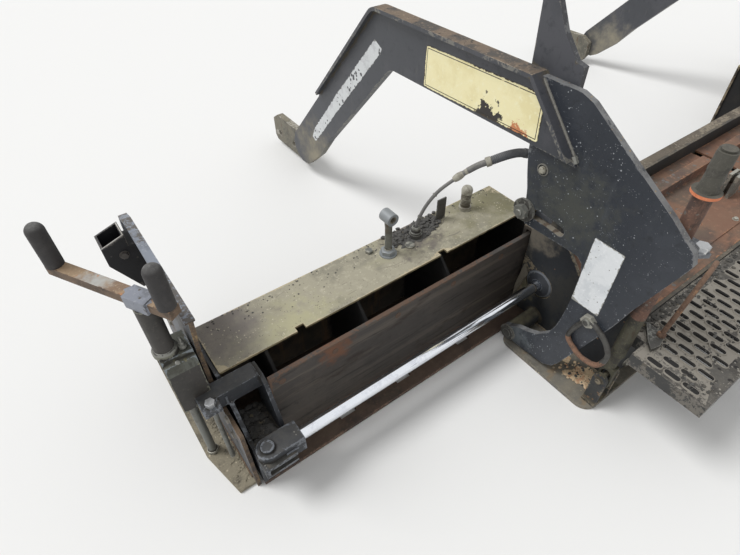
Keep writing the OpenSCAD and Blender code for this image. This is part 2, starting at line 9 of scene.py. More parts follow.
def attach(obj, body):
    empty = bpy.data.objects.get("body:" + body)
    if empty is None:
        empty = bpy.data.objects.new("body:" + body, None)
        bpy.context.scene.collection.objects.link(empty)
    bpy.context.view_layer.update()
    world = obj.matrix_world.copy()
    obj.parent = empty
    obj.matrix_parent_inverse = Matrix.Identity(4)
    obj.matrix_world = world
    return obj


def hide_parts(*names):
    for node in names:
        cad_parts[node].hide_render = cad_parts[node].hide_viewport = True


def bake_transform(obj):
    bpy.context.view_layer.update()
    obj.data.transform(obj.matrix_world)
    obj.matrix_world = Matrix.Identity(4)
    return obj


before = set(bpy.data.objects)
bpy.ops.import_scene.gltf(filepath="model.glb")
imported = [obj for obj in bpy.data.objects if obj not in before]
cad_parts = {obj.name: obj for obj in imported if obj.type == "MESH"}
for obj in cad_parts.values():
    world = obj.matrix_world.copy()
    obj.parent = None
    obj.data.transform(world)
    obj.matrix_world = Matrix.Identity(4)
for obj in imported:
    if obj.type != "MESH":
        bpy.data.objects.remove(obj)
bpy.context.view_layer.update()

# The rod axis is y = 0 in the drawing, and this is where it stands in the part frame, in mm
rodToMiddle = 584.5
sides = {"left": -1, "right": 1}

up, rear, outward, inward = (0, 0, 1), (0, -1, 0), (-1, 0, 0), (1, 0, 0)


def spot(side, out, y, z):
    # a point in drawing mm, with out measured away from the middle of the screed
    return Vector((side * out, y - rodToMiddle, z)) * 0.001


def onLeft(out, y, z):
    return spot(sides["left"], out, y, z)


def drawn(point):
    # part frame metres as drawing mm: out, y, z
    return abs(point.x) * 1000, point.y * 1000 + rodToMiddle, point.z * 1000


def between(value, limits):
    return limits[0] < value < limits[1]


def tone(red, green, blue):
    # a screen colour 0..255 as the linear colour that the shaders take
    made = []
    for part in (red, green, blue):
        part = part / 255
        made.append(part / 12.92 if part <= 0.04045 else ((part + 0.055) / 1.055) ** 2.4)
    return (*made, 1.0)


# Camera

cameraFacts = {
    "place": (-2.3025, -1.2836, 1.5167),
    "right": (0.80955, -0.58694, -0.01128),
    "up": (0.41884, 0.56402, 0.71165),
    "back": (-0.41133, -0.58085, 0.70244),
    "lens": 24.62,
    "sensor": 36.0,
}


def makeCamera():
    facts = cameraFacts
    cameraData = bpy.data.cameras.new("viewCamera")
    cameraData.sensor_width = facts["sensor"]
    cameraData.sensor_fit = "HORIZONTAL"
    cameraData.lens = facts["lens"]
    camera = bpy.data.objects.new("viewCamera", cameraData)
    bpy.context.scene.collection.objects.link(camera)
    turn = Matrix((facts["right"], facts["up"], facts["back"])).transposed()
    camera.matrix_world = Matrix.Translation(facts["place"]) @ turn.to_4x4()
    bpy.context.scene.camera = camera


makeCamera()
print("camera ready")


# Shader groups: each puts out a mask, a colour or a height


class Wiring:
    def __init__(self, tree):
        self.tree = tree
        self.tree.nodes.clear()

    def add(self, kind, **facts):
        node = self.tree.nodes.new(kind)
        for key, value in facts.items():
            setattr(node, key, value)
        return node

    def join(self, source, target):
        self.tree.links.new(source, target)

    def feed(self, target, value):
        if isinstance(value, bpy.types.NodeSocket):
            self.join(value, target)
        else:
            target.default_value = value

    def math(self, operation, *values):
        node = self.add("ShaderNodeMath", operation=operation)
        for index, value in enumerate(values):
            self.feed(node.inputs[index], value)
        return node.outputs[0]

    def times(self, first, second):
        return self.math("MULTIPLY", first, second)

    def plus(self, first, second):
        return self.math("ADD", first, second)

    def minus(self, first, second):
        return self.math("SUBTRACT", first, second)

    def vector(self, operation, first, second, output=0):
        node = self.add("ShaderNodeVectorMath", operation=operation)
        self.join(first, node.inputs[0])
        self.join(second, node.inputs[1])
        return node.outputs[output]

    def blend(self, factor, first, second, colour=True):
        node = self.add("ShaderNodeMix", data_type="RGBA" if colour else "FLOAT")
        inputs = [s for s in node.inputs if s.enabled]
        for target, value in zip(inputs, (factor, first, second)):
            self.feed(target, value)
        return [s for s in node.outputs if s.enabled][0]

    def ramp(self, value, low, high, start=0.0, end=1.0):
        node = self.add("ShaderNodeMapRange", interpolation_type="SMOOTHSTEP")
        for index, item in enumerate((value, low, high, start, end)):
            self.feed(node.inputs[index], item)
        return node.outputs[0]

    def noise(self, place, scale, detail=3.0, rough=0.55):
        node = self.add("ShaderNodeTexNoise")
        self.join(place, node.inputs["Vector"])
        self.feed(node.inputs["Scale"], scale)
        node.inputs["Detail"].default_value = detail
        node.inputs["Roughness"].default_value = rough
        return node.outputs["Fac"]

    def place(self, seed=None):
        # object coordinates, shifted by a seed so that two finishes don't share a pattern
        found = self.add("ShaderNodeTexCoord").outputs["Object"]
        return found if seed is None else self.vector("ADD", found, seed)


def startGroup(name, inputs, output="Mask"):
    # opens a group: an input is a number, a vector of three or a colour of four values
    tree = bpy.data.node_groups.new(name, "ShaderNodeTree")
    for title, value in inputs.items():
        kind = {3: "Vector", 4: "Color"}[len(value)] if isinstance(value, tuple) else "Float"
        socket = tree.interface.new_socket(title, in_out="INPUT", socket_type="NodeSocket" + kind)
        socket.default_value = value
    kind = "Color" if output == "Colour" else "Float"
    tree.interface.new_socket(output, in_out="OUTPUT", socket_type="NodeSocket" + kind)
    wires = Wiring(tree)
    return wires, wires.add("NodeGroupInput").outputs, wires.add("NodeGroupOutput").inputs[output]


def groupPatches():
    # three colours in large and in small patches
    wires, given, result = startGroup(
        "patchyColour",
        {"Main": (0.5, 0.5, 0.5, 1), "Second": (0.4, 0.4, 0.4, 1), "Third": (0.3, 0.3, 0.3, 1),
         "Scale": 6.0, "Share": 0.5, "Seed": 0.0},
        "Colour")
    place = wires.place(given["Seed"])
    large = wires.noise(place, given["Scale"], 6.0, 0.62)
    fine = wires.noise(place, wires.times(given["Scale"], 7.3), 4.0, 0.7)
    start = wires.minus(0.62, wires.times(given["Share"], 0.28))
    patches = wires.ramp(large, start, wires.plus(start, 0.14))
    first = wires.blend(patches, given["Main"], given["Second"])
    wires.join(wires.blend(wires.ramp(fine, 0.52, 0.72), first, given["Third"]), result)


def groupRub():
    # a ragged line along the outer corners
    wires, given, result = startGroup("rubbedEdges", {"Width": 0.004, "Seed": 0.0})
    place = wires.place(given["Seed"])
    away = wires.add("ShaderNodeAttribute", attribute_name="edgeDist").outputs["Fac"]
    large = wires.noise(place, 9.0, 3.0)
    fine = wires.noise(place, 95.0, 4.0, 0.7)
    reach = wires.times(given["Width"], wires.ramp(large, 0.32, 0.68, 0.15, 2.2))
    reach = wires.times(reach, wires.ramp(fine, 0.34, 0.7, 0.1, 1.7))
    low = wires.times(reach, 0.55)
    wires.join(wires.ramp(away, low, wires.plus(reach, 0.0004), 1.0, 0.0), result)


def groupGrime():
    # dirt that collects in the inner corners
    wires, given, result = startGroup("cornerGrime", {"Width": 0.02, "Seed": 0.0})
    away = wires.add("ShaderNodeAttribute", attribute_name="cornerDist").outputs["Fac"]
    rough = wires.noise(wires.place(given["Seed"]), 22.0, 5.0, 0.65)
    reach = wires.times(given["Width"], wires.ramp(rough, 0.3, 0.72, 0.2, 1.9))
    wires.join(wires.ramp(away, 0.0, reach, 1.0, 0.0), result)


def groupSpecks():
    # dots of uneven size that crowd in places
    wires, given, result = startGroup("specks", {"Scale": 60.0, "Size": 0.25, "Share": 0.3, "Seed": 0.0})
    place = wires.place(given["Seed"])
    cells = wires.add("ShaderNodeTexVoronoi")
    wires.join(place, cells.inputs["Vector"])
    wires.join(given["Scale"], cells.inputs["Scale"])
    chance = wires.add("ShaderNodeSeparateColor")
    wires.join(cells.outputs["Color"], chance.inputs[0])
    crowd = wires.noise(place, wires.times(given["Scale"], 0.11), 3.0)
    share = wires.times(given["Share"], wires.ramp(crowd, 0.46, 0.68, 0.06, 2.6))
    shown = wires.math("LESS_THAN", chance.outputs[0], share)
    size = wires.times(given["Size"], wires.plus(chance.outputs[1], 0.35))
    dot = wires.ramp(cells.outputs["Distance"], wires.times(size, 0.7), size, 1.0, 0.0)
    wires.join(wires.times(dot, shown), result)


def groupStreaks():
    # noise drawn out where Stretch is small
    wires, given, result = startGroup(
        "streaks", {"Stretch": (1, 1, 1), "Scale": 30.0, "Cut": 0.55, "Soft": 0.1})
    scaled = wires.vector("MULTIPLY", wires.place(), given["Stretch"])
    lines = wires.noise(scaled, given["Scale"], 5.0, 0.65)
    wires.join(wires.ramp(lines, given["Cut"], wires.plus(given["Cut"], given["Soft"])), result)


def groupDust():
    # clumps of dust on the faces that look up
    wires, given, result = startGroup("settledDust", {"Amount": 0.5, "Scale": 12.0})
    facing = wires.add("ShaderNodeSeparateXYZ")
    wires.join(wires.add("ShaderNodeNewGeometry").outputs["Normal"], facing.inputs[0])
    flat = wires.ramp(facing.outputs[2], 0.35, 0.95)
    clump = wires.ramp(wires.noise(wires.place(), given["Scale"], 7.0, 0.72), 0.36, 0.66, 0.25, 1.0)
    wires.join(wires.times(wires.times(flat, clump), given["Amount"]), result)


def groupGrain():
    # height of a grainy surface with shallow pits
    wires, given, result = startGroup("grainHeight", {"Scale": 120.0, "Pits": 0.3}, "Height")
    place = wires.place()
    grain = wires.noise(place, given["Scale"], 5.0, 0.65)
    swell = wires.noise(place, wires.times(given["Scale"], 0.07), 2.0)
    pitNoise = wires.noise(place, wires.times(given["Scale"], 0.45), 3.0)
    pits = wires.times(wires.ramp(pitNoise, 0.25, 0.42, 1.0, 0.0), given["Pits"])
    height = wires.plus(wires.times(grain, 0.5), swell)
    wires.join(wires.minus(height, pits), result)


def groupStain():
    # a ragged stain round one place, the same on both sides of the screed
    wires, given, result = startGroup(
        "stainAt", {"Centre": (0, 0, 0), "Radius": 0.1, "Scale": 20.0, "Soft": 0.5, "Seed": 0.0})
    parts = wires.add("ShaderNodeSeparateXYZ")
    wires.join(wires.place(), parts.inputs[0])
    folded = wires.add("ShaderNodeCombineXYZ")
    wires.join(wires.math("ABSOLUTE", parts.outputs[0]), folded.inputs[0])
    wires.join(parts.outputs[1], folded.inputs[1])
    wires.join(parts.outputs[2], folded.inputs[2])
    apart = wires.vector("DISTANCE", folded.outputs[0], given["Centre"], "Value")
    near = wires.minus(1.0, wires.math("DIVIDE", apart, given["Radius"]))
    rough = wires.noise(wires.place(given["Seed"]), given["Scale"], 5.0, 0.65)
    value = wires.plus(near, wires.times(wires.minus(rough, 0.5), 2.4))
    half = wires.times(given["Soft"], 0.5)
    low, high = wires.minus(0.45, half), wires.plus(0.45, half)
    wires.join(wires.ramp(value, low, high), result)


def groupScratches():
    # thin lines in clumps, along the way in which Stretch is small
    wires, given, result = startGroup(
        "scratches", {"Stretch": (1, 1, 1), "Scale": 8.0, "Width": 0.01, "Share": 0.3, "Seed": 0.0})
    place = wires.place(given["Seed"])
    lines = wires.noise(wires.vector("MULTIPLY", place, given["Stretch"]), given["Scale"], 1.0, 0.4)
    away = wires.math("ABSOLUTE", wires.minus(lines, 0.5))
    thin = wires.ramp(away, wires.times(given["Width"], 0.3), given["Width"], 1.0, 0.0)
    start = wires.minus(0.74, wires.times(given["Share"], 0.4))
    clump = wires.ramp(wires.noise(place, 9.0, 3.0), start, wires.plus(start, 0.05))
    wires.join(wires.times(thin, clump), result)


groupMakers = [
    groupPatches, groupRub, groupGrime, groupSpecks, groupStreaks, groupDust, groupGrain, groupStain,
    groupScratches]
for makeGroup in groupMakers:
    makeGroup()
print("shader groups:", len(groupMakers))


# Finishes


def placeGroup(wires, name, values):
    node = wires.add("ShaderNodeGroup")
    node.node_tree = bpy.data.node_groups[name]
    for key, value in values.items():
        wires.feed(node.inputs[key], value)
    return node.outputs[0]


def layerOf(group, *names):
    # a layer gives the group's values in the order of names, then its colour, roughness and share of metal
    def layer(*values):
        colour, rough, metal = (*values[len(names):], 0.0)[:3]
        return group, dict(zip(names, values)), colour, rough, metal

    return layer


stain = layerOf("stainAt", "Centre", "Radius", "Scale", "Soft")
streaks = layerOf("streaks", "Stretch", "Scale", "Cut", "Soft")
dust = layerOf("settledDust", "Amount", "Scale")
grime = layerOf("cornerGrime", "Width")
specks = layerOf("specks", "Scale", "Size", "Share")
scratches = layerOf("scratches", "Stretch", "Scale", "Width", "Share")
rubbed = layerOf("rubbedEdges", "Width")


def makeFinish(name, facts):
    # colours are the main, the second and the third one, and each layer lies over the one before
    finish = bpy.data.materials.new(name)
    finish.use_nodes = True
    wires = Wiring(finish.node_tree)
    shader = wires.add("ShaderNodeBsdfPrincipled")
    wires.join(shader.outputs[0], wires.add("ShaderNodeOutputMaterial").inputs["Surface"])
    seed = len(bpy.data.materials) * 1.7
    main, second, third = (tone(*c) for c in facts["colours"])
    colour = placeGroup(wires, "patchyColour", {
        "Main": main, "Second": second, "Third": third, "Seed": seed,
        "Scale": facts.get("scale", 6.0), "Share": facts.get("share", 0.5)})
    rough, metal = facts.get("rough", 0.6), facts.get("metal", 0.0)
    metals = {metal} | {layer[4] for layer in facts["layers"]}
    for group, values, layerColour, layerRough, layerMetal in facts["layers"]:
        if "Seed" in bpy.data.node_groups[group].interface.items_tree:
            values = {"Seed": seed + 3.1, **values}
        mask = placeGroup(wires, group, values)
        colour = wires.blend(mask, colour, tone(*layerColour))
        rough = wires.blend(mask, rough, layerRough, colour=False)
        if len(metals) > 1:
            metal = wires.blend(mask, metal, layerMetal, colour=False)
    wires.join(colour, shader.inputs["Base Color"])
    wires.feed(shader.inputs["Roughness"], rough)
    wires.feed(shader.inputs["Metallic"], metal)
    bump = wires.add("ShaderNodeBump")
    bump.inputs["Strength"].default_value = facts.get("bump", 0.4)
    bump.inputs["Distance"].default_value = facts.get("depth", 0.0015)
    height = placeGroup(wires, "grainHeight", {"Scale": facts.get("grain", 120.0), "Pits": 0.4})
    wires.join(height, bump.inputs["Height"])
    wires.join(bump.outputs[0], shader.inputs["Normal"])
    return finish


finishFacts = {
    "armPaint": dict(
        colours=((44, 48, 55), (51, 55, 62), (37, 40, 46)), scale=5, rough=0.42, grain=160, bump=0.22,
        layers=[
            stain((1.2, -0.69, 0.66), 0.17, 30, 1.1, (62, 64, 60), 0.7),
            stain((1.2, -0.62, 0.05), 0.13, 20, 0.5, (84, 90, 94), 0.4),
            streaks((1, 1, 0.18), 22, 0.6, 0.16, (60, 64, 68), 0.6),
            dust(0.75, 20, (104, 99, 90), 0.85),
            grime(0.01, (60, 60, 58), 0.9),
            specks(120, 0.24, 0.07, (150, 154, 158), 0.7),
            specks(330, 0.34, 0.06, (120, 124, 128), 0.7),
            scratches((1, 2, 14), 7, 0.006, 0.3, (112, 116, 122), 0.5, 0.1),
            rubbed(0.0016, (108, 110, 113), 0.5, 0.2)]),
    "armEdge": dict(
        colours=((112, 113, 114), (92, 92, 93), (132, 131, 127)), scale=20, rough=0.6, grain=200, bump=0.35,
        layers=[
            streaks((1, 1, 1), 40, 0.58, 0.1, (58, 60, 64), 0.6),
            specks(160, 0.4, 0.15, (142, 126, 104), 0.8)]),
    "beamPaint": dict(
        colours=((62, 64, 69), (70, 71, 76), (53, 55, 60)), scale=5, rough=0.45, grain=160, bump=0.22,
        layers=[
            streaks((1, 1, 0.2), 22, 0.58, 0.16, (82, 82, 84), 0.6),
            stain((1.212, 0.72, 0.16), 0.19, 12, 1.3, (138, 132, 116), 0.85),
            grime(0.012, (84, 78, 66), 0.9),
            specks(130, 0.22, 0.05, (138, 140, 142), 0.7),
            rubbed(0.0016, (118, 116, 110), 0.5, 0.2)]),
    "beamTop": dict(
        colours=((112, 98, 84), (76, 72, 68), (136, 120, 102)), scale=12, share=0.7, rough=0.85, bump=0.6,
        layers=[
            specks(120, 0.42, 0.2, (52, 50, 48), 0.9),
            rubbed(0.0022, (146, 132, 114), 0.7)]),
    "lugPaint": dict(
        colours=((42, 43, 48), (48, 49, 53), (37, 38, 42)), scale=6, rough=0.45, grain=160, bump=0.2,
        layers=[
            specks(100, 0.2, 0.06, (110, 112, 116), 0.7),
            rubbed(0.0016, (96, 97, 98), 0.5, 0.2)]),
    "slotRust": dict(
        colours=((88, 76, 64), (68, 58, 50), (108, 96, 82)), scale=30, rough=0.85, bump=0.5,
        layers=[rubbed(0.0018, (122, 116, 104), 0.6, 0.2)]),
    "hornPaint": dict(
        colours=((38, 41, 45), (50, 50, 48), (31, 34, 39)), scale=6, share=0.6, rough=0.65, bump=0.45,
        layers=[
            stain((1.06, -0.505, 0.4), 0.13, 18, 0.7, (104, 98, 88), 0.9),
            stain((1.06, -0.5, 0.14), 0.11, 26, 0.5, (96, 92, 74), 0.9),
            specks(80, 0.4, 0.14, (118, 92, 70), 0.9),
            dust(0.85, 16, (122, 116, 94), 0.9),
            grime(0.012, (84, 78, 66), 0.95),
            rubbed(0.0022, (120, 110, 92), 0.6, 0.1)]),
    "blackPaint": dict(
        colours=((40, 41, 42), (50, 49, 46), (31, 32, 33)), scale=8, rough=0.6,
        layers=[
            streaks((1, 1, 0.2), 26, 0.57, 0.2, (68, 62, 54), 0.8),
            dust(0.8, 16, (106, 98, 84), 0.9),
            grime(0.016, (82, 73, 58), 0.95),
            rubbed(0.0018, (108, 100, 88), 0.6, 0.2)]),
    "endBlack": dict(
        colours=((46, 49, 54), (40, 42, 46), (56, 58, 62)), scale=12, rough=0.55, bump=0.35,
        layers=[
            dust(0.35, 26, (98, 95, 88), 0.9),
            grime(0.01, (40, 38, 34), 0.95),
            specks(120, 0.3, 0.08, (128, 126, 120), 0.8),
            rubbed(0.0018, (104, 108, 114), 0.5, 0.2)]),
    "boxDirt": dict(
        colours=((70, 69, 66), (88, 84, 77), (52, 51, 49)), scale=26, rough=0.95, grain=90, bump=1,
        depth=0.004,
        layers=[specks(70, 0.45, 0.2, (112, 104, 88), 0.95)]),
    "plateSteel": dict(
        colours=((104, 102, 96), (82, 80, 74), (126, 122, 112)), scale=9, rough=0.8, grain=90, bump=0.6,
        layers=[
            streaks((0.4, 1, 1), 16, 0.55, 0.15, (120, 102, 80), 0.9),
            dust(0.55, 18, (142, 134, 116), 0.95),
            specks(90, 0.4, 0.12, (176, 164, 140), 0.9),
            rubbed(0.003, (128, 122, 110), 0.6, 0.2)]),
    "ledgeSteel": dict(
        colours=((78, 62, 54), (60, 50, 46), (96, 77, 65)), scale=10, rough=0.75, grain=100, bump=0.6,
        layers=[
            streaks((0.1, 1, 1), 20, 0.56, 0.12, (104, 88, 76), 0.7, 0.1),
            dust(0.3, 14, (122, 108, 90), 0.95),
            rubbed(0.002, (118, 96, 80), 0.6, 0.2)]),
    "bareSteel": dict(
        colours=((112, 113, 108), (92, 90, 82), (132, 132, 126)), scale=14, rough=0.5, metal=0.4,
        layers=[
            streaks((1, 1, 0.4), 40, 0.56, 0.14, (100, 78, 58), 0.8),
            grime(0.006, (58, 52, 44), 0.9),
            rubbed(0.0012, (168, 166, 156), 0.4, 0.6)]),
    "gibSteel": dict(
        colours=((84, 77, 69), (62, 56, 50), (106, 96, 84)), scale=10, rough=0.7,
        layers=[
            streaks((0.1, 1, 1), 26, 0.55, 0.14, (44, 40, 36), 0.7),
            dust(0.4, 20, (122, 112, 94), 0.95),
            rubbed(0.0016, (134, 124, 108), 0.5, 0.4)]),
    "rustyDeck": dict(
        colours=((116, 84, 68), (86, 70, 63), (138, 102, 82)), scale=5, share=0.6, rough=0.85, grain=80,
        bump=0.7,
        layers=[
            streaks((0.3, 1, 1), 14, 0.55, 0.15, (56, 52, 48), 0.8),
            specks(60, 0.45, 0.16, (96, 94, 92), 0.8),
            dust(0.25, 8, (132, 118, 98), 0.95),
            rubbed(0.002, (142, 104, 78), 0.7, 0.1)]),
    "olivePaint": dict(
        colours=((88, 90, 83), (70, 70, 62), (104, 106, 98)), scale=14, share=0.6, rough=0.7, bump=0.5,
        layers=[
            streaks((1, 1, 0.25), 30, 0.56, 0.15, (48, 47, 42), 0.75),
            dust(0.5, 30, (116, 116, 104), 0.95),
            specks(90, 0.4, 0.12, (122, 118, 92), 0.8),
            grime(0.008, (44, 42, 36), 0.9),
            rubbed(0.0026, (122, 129, 133), 0.5, 0.3)]),
    # the post's own dark colour, also used as painted shade on the jack block's lower rear-facing faces
    "postDarkAndShade": dict(
        colours=((54, 51, 48), (46, 44, 41), (68, 65, 58)), scale=14, rough=0.6, bump=0.35,
        layers=[
            streaks((1, 1, 0.12), 40, 0.6, 0.1, (88, 86, 76), 0.7),
            rubbed(0.0022, (112, 112, 100), 0.6, 0.1)]),
    "walkwaySteel": dict(
        colours=((78, 76, 73), (58, 56, 54), (102, 99, 93)), scale=18, share=0.7, rough=0.8, bump=0.9,
        layers=[
            dust(0.3, 34, (112, 107, 97), 0.95),
            specks(70, 0.6, 0.3, (46, 44, 43), 0.95),
            specks(150, 0.5, 0.2, (138, 134, 126), 0.9),
            rubbed(0.0018, (134, 129, 120), 0.5, 0.3)]),
    # painted shade: near black, stands in for the shade in the walkway's slots, on their walls and on the
    # lips' inner slopes
    "slotPaintedShade": dict(
        colours=((30, 29, 28), (40, 38, 35), (23, 23, 23)), scale=20, rough=0.9,
        layers=[specks(90, 0.4, 0.1, (60, 56, 50), 0.9)]),
    "fasciaSteel": dict(
        colours=((56, 56, 55), (46, 45, 44), (68, 67, 64)), scale=10, rough=0.7, bump=0.5,
        layers=[
            streaks((1, 1, 0.3), 30, 0.56, 0.14, (90, 84, 76), 0.8),
            rubbed(0.0024, (108, 104, 97), 0.6, 0.2)]),
    "lipSteel": dict(
        colours=((84, 81, 77), (62, 60, 57), (104, 100, 93)), scale=24, rough=0.7, bump=0.5,
        layers=[rubbed(0.0022, (134, 129, 120), 0.5, 0.3)]),
    "slideSteel": dict(
        colours=((54, 49, 45), (66, 60, 54), (44, 39, 35)), scale=4, rough=0.55, bump=0.35,
        layers=[
            streaks((0.03, 1, 1), 26, 0.5, 0.14, (84, 77, 69), 0.5, 0.2),
            streaks((0.05, 1, 1), 70, 0.55, 0.12, (38, 33, 29), 0.6, 0.1),
            streaks((0.3, 1, 0.8), 9, 0.6, 0.14, (42, 31, 25), 0.8),
            stain((0.98, -0.49, 0.2), 0.16, 14, 1, (20, 16, 13), 0.8),
            stain((1.865, -0.49, 0.345), 0.075, 34, 0.9, (104, 70, 50), 0.8),
            rubbed(0.004, (88, 68, 55), 0.7, 0.1)]),
    # painted shade: the extension frame's inside faces are near black
    "innerPaintedShade": dict(
        colours=((22, 21, 21), (32, 29, 27), (15, 15, 15)), scale=8, rough=0.85,
        layers=[streaks((1, 1, 0.3), 20, 0.6, 0.14, (52, 40, 32), 0.9)]),
    "frontBoard": dict(
        colours=((62, 58, 52), (84, 74, 62), (48, 44, 40)), scale=6, share=0.6, rough=0.8, bump=0.6,
        layers=[
            streaks((1, 1, 0.15), 18, 0.54, 0.16, (104, 84, 64), 0.85),
            grime(0.02, (38, 35, 31), 0.95),
            rubbed(0.0024, (124, 112, 92), 0.6, 0.2)]),
    "weatheredDeck": dict(
        colours=((160, 155, 137), (140, 136, 121), (178, 172, 153)), scale=7, share=0.5, rough=0.88,
        grain=170, bump=0.6,
        layers=[
            streaks((0.22, 1, 1), 9, 0.52, 0.3, (158, 155, 124), 0.9),
            streaks((0.3, 1, 1), 7, 0.56, 0.2, (130, 124, 115), 0.9),
            stain((1.02, -0.28, 0.375), 0.24, 16, 1, (128, 124, 98), 0.9),
            stain((1.4, -0.25, 0.375), 0.14, 26, 0.8, (112, 106, 99), 0.9),
            stain((1.93, -0.37, 0.375), 0.15, 36, 1.1, (170, 166, 136), 0.9),
            stain((2.12, -0.25, 0.375), 0.2, 18, 1.1, (126, 120, 114), 0.9),
            specks(260, 0.4, 0.16, (112, 107, 96), 0.9),
            specks(200, 0.4, 0.1, (192, 186, 164), 0.9),
            scratches((0.5, 2, 2), 9, 0.01, 0.5, (132, 126, 114), 0.9),
            rubbed(0.004, (184, 172, 144), 0.7)]),
    "deckSide": dict(
        colours=((150, 138, 108), (116, 104, 82), (172, 160, 128)), scale=22, rough=0.85, bump=0.4,
        layers=[streaks((0.5, 1, 1), 26, 0.56, 0.12, (72, 60, 48), 0.9)]),
    "chrome": dict(
        colours=((226, 230, 236), (214, 218, 226), (232, 234, 238)), scale=20, rough=0.12, metal=1, bump=0.03,
        layers=[
            streaks((1, 8, 8), 18, 0.64, 0.12, (176, 172, 166), 0.35, 0.8),
            scratches((0.3, 6, 6), 8, 0.01, 0.25, (180, 184, 190), 0.3, 0.9)]),
    "crankSteel": dict(
        colours=((150, 127, 101), (122, 99, 79), (172, 153, 126)), scale=16, share=0.6, rough=0.65, bump=0.5,
        layers=[
            stain((2.335, -0.27, 0.72), 0.05, 40, 1.3, (166, 166, 162), 0.5, 0.2),
            streaks((0.6, 0.6, 1), 20, 0.56, 0.22, (142, 134, 120), 0.6, 0.1),
            streaks((1, 1, 1), 34, 0.62, 0.1, (172, 120, 84), 0.8),
            grime(0.008, (70, 54, 44), 0.9),
            rubbed(0.0014, (100, 80, 64), 0.7)]),
    # a darker copy of crankSteel: painted shade on the crank's sides
    "crankSideShaded": dict(
        colours=((104, 86, 70), (84, 70, 58), (126, 104, 84)), scale=20, share=0.6, rough=0.75, bump=0.5,
        layers=[streaks((0.6, 0.6, 1), 30, 0.56, 0.12, (66, 56, 48), 0.8)]),
    "hubSteel": dict(
        colours=((126, 130, 140), (104, 107, 114), (144, 147, 154)), scale=20, rough=0.5, bump=0.3,
        layers=[
            specks(120, 0.4, 0.15, (82, 78, 72), 0.7),
            rubbed(0.0014, (86, 84, 82), 0.6)]),
    "gripRubber": dict(
        colours=((46, 44, 44), (56, 54, 53), (38, 37, 37)), scale=18, rough=0.7, grain=220, bump=0.4,
        layers=[
            dust(0.85, 30, (124, 124, 122), 0.9),
            streaks((1, 1, 0.3), 30, 0.62, 0.12, (70, 69, 68), 0.8)]),
    "jackGrip": dict(
        colours=((78, 76, 69), (64, 62, 57), (94, 91, 84)), scale=26, rough=0.85, bump=0.9, depth=0.004,
        grain=60,
        layers=[dust(0.5, 40, (112, 108, 98), 0.9)]),
    "cableJacket": dict(
        colours=((104, 103, 102), (86, 85, 84), (124, 123, 120)), scale=26, rough=0.5, bump=0.3,
        layers=[dust(0.5, 50, (150, 146, 136), 0.9)]),
    "conduit": dict(
        colours=((82, 84, 88), (66, 68, 72), (100, 102, 104)), scale=26, rough=0.55, bump=0.3,
        layers=[dust(0.6, 50, (132, 130, 126), 0.9)]),
    "gateSteel": dict(
        colours=((88, 90, 94), (68, 66, 64), (108, 110, 113)), scale=9, share=0.6, rough=0.65, bump=0.4,
        layers=[
            streaks((1, 1, 0.15), 20, 0.55, 0.12, (104, 82, 62), 0.8),
            specks(90, 0.4, 0.1, (120, 92, 66), 0.8),
            rubbed(0.003, (126, 122, 114), 0.55, 0.2)]),
    "bandSteel": dict(
        colours=((124, 130, 140), (108, 113, 122), (140, 145, 153)), scale=12, rough=0.55, bump=0.3,
        layers=[
            specks(100, 0.4, 0.1, (142, 126, 106), 0.7),
            specks(240, 0.4, 0.1, (170, 172, 174), 0.7),
            rubbed(0.0014, (88, 84, 80), 0.6, 0.1)]),
    "gateEdge": dict(
        colours=((92, 76, 60), (62, 54, 48), (124, 104, 80)), scale=20, share=0.6, rough=0.8, bump=0.5,
        layers=[
            streaks((1, 1, 0.3), 30, 0.56, 0.12, (152, 128, 90), 0.8),
            specks(120, 0.4, 0.14, (40, 38, 38), 0.8)]),
    "skiDirt": dict(
        colours=((134, 127, 110), (108, 102, 89), (156, 148, 128)), scale=18, share=0.6, rough=0.95, grain=90,
        bump=0.9, depth=0.003,
        layers=[
            streaks((1, 0.6, 1), 20, 0.56, 0.15, (88, 84, 74), 0.95),
            specks(120, 0.4, 0.16, (174, 164, 142), 0.9)]),
    "pocketBlack": dict(
        colours=((24, 24, 27), (30, 30, 33), (19, 19, 22)), scale=10, rough=0.6, bump=0.3,
        layers=[
            specks(120, 0.3, 0.05, (70, 68, 66), 0.8),
            rubbed(0.0014, (84, 80, 76), 0.6, 0.1)]),
    "brightEdge": dict(
        colours=((186, 184, 178), (166, 162, 154), (196, 194, 190)), scale=40, rough=0.5,
        layers=[specks(160, 0.4, 0.2, (84, 74, 62), 0.8)]),
    "grayPaint": dict(
        colours=((112, 108, 96), (90, 88, 80), (134, 129, 114)), scale=12, rough=0.75,
        layers=[
            streaks((1, 1, 0.3), 26, 0.56, 0.12, (94, 76, 60), 0.8),
            dust(0.5, 20, (142, 134, 114), 0.95),
            rubbed(0.0022, (152, 148, 138), 0.5, 0.2)]),
    "jackSteel": dict(
        colours=((104, 78, 66), (74, 60, 54), (130, 98, 82)), scale=18, share=0.6, rough=0.85, bump=0.6,
        layers=[
            streaks((1, 1, 0.3), 30, 0.55, 0.14, (60, 50, 45), 0.85),
            specks(90, 0.4, 0.12, (104, 98, 92), 0.8),
            rubbed(0.002, (150, 116, 92), 0.7, 0.1)]),
    # olive paint darkened as painted shade, for the jack tube's lower part under the arm
    "tubeOliveShaded": dict(
        colours=((72, 70, 58), (54, 52, 46), (98, 94, 72)), scale=22, share=0.6, rough=0.85, bump=0.5,
        layers=[streaks((1, 1, 0.3), 30, 0.54, 0.14, (64, 56, 44), 0.85)]),
    "washerOrange": dict(
        colours=((206, 124, 86), (180, 102, 70), (218, 146, 108)), scale=30, rough=0.85, bump=0.4,
        layers=[grime(0.004, (84, 58, 44), 0.9)]),
    "bracketSteel": dict(
        colours=((106, 109, 114), (88, 91, 96), (124, 126, 129)), scale=20, rough=0.6, bump=0.3,
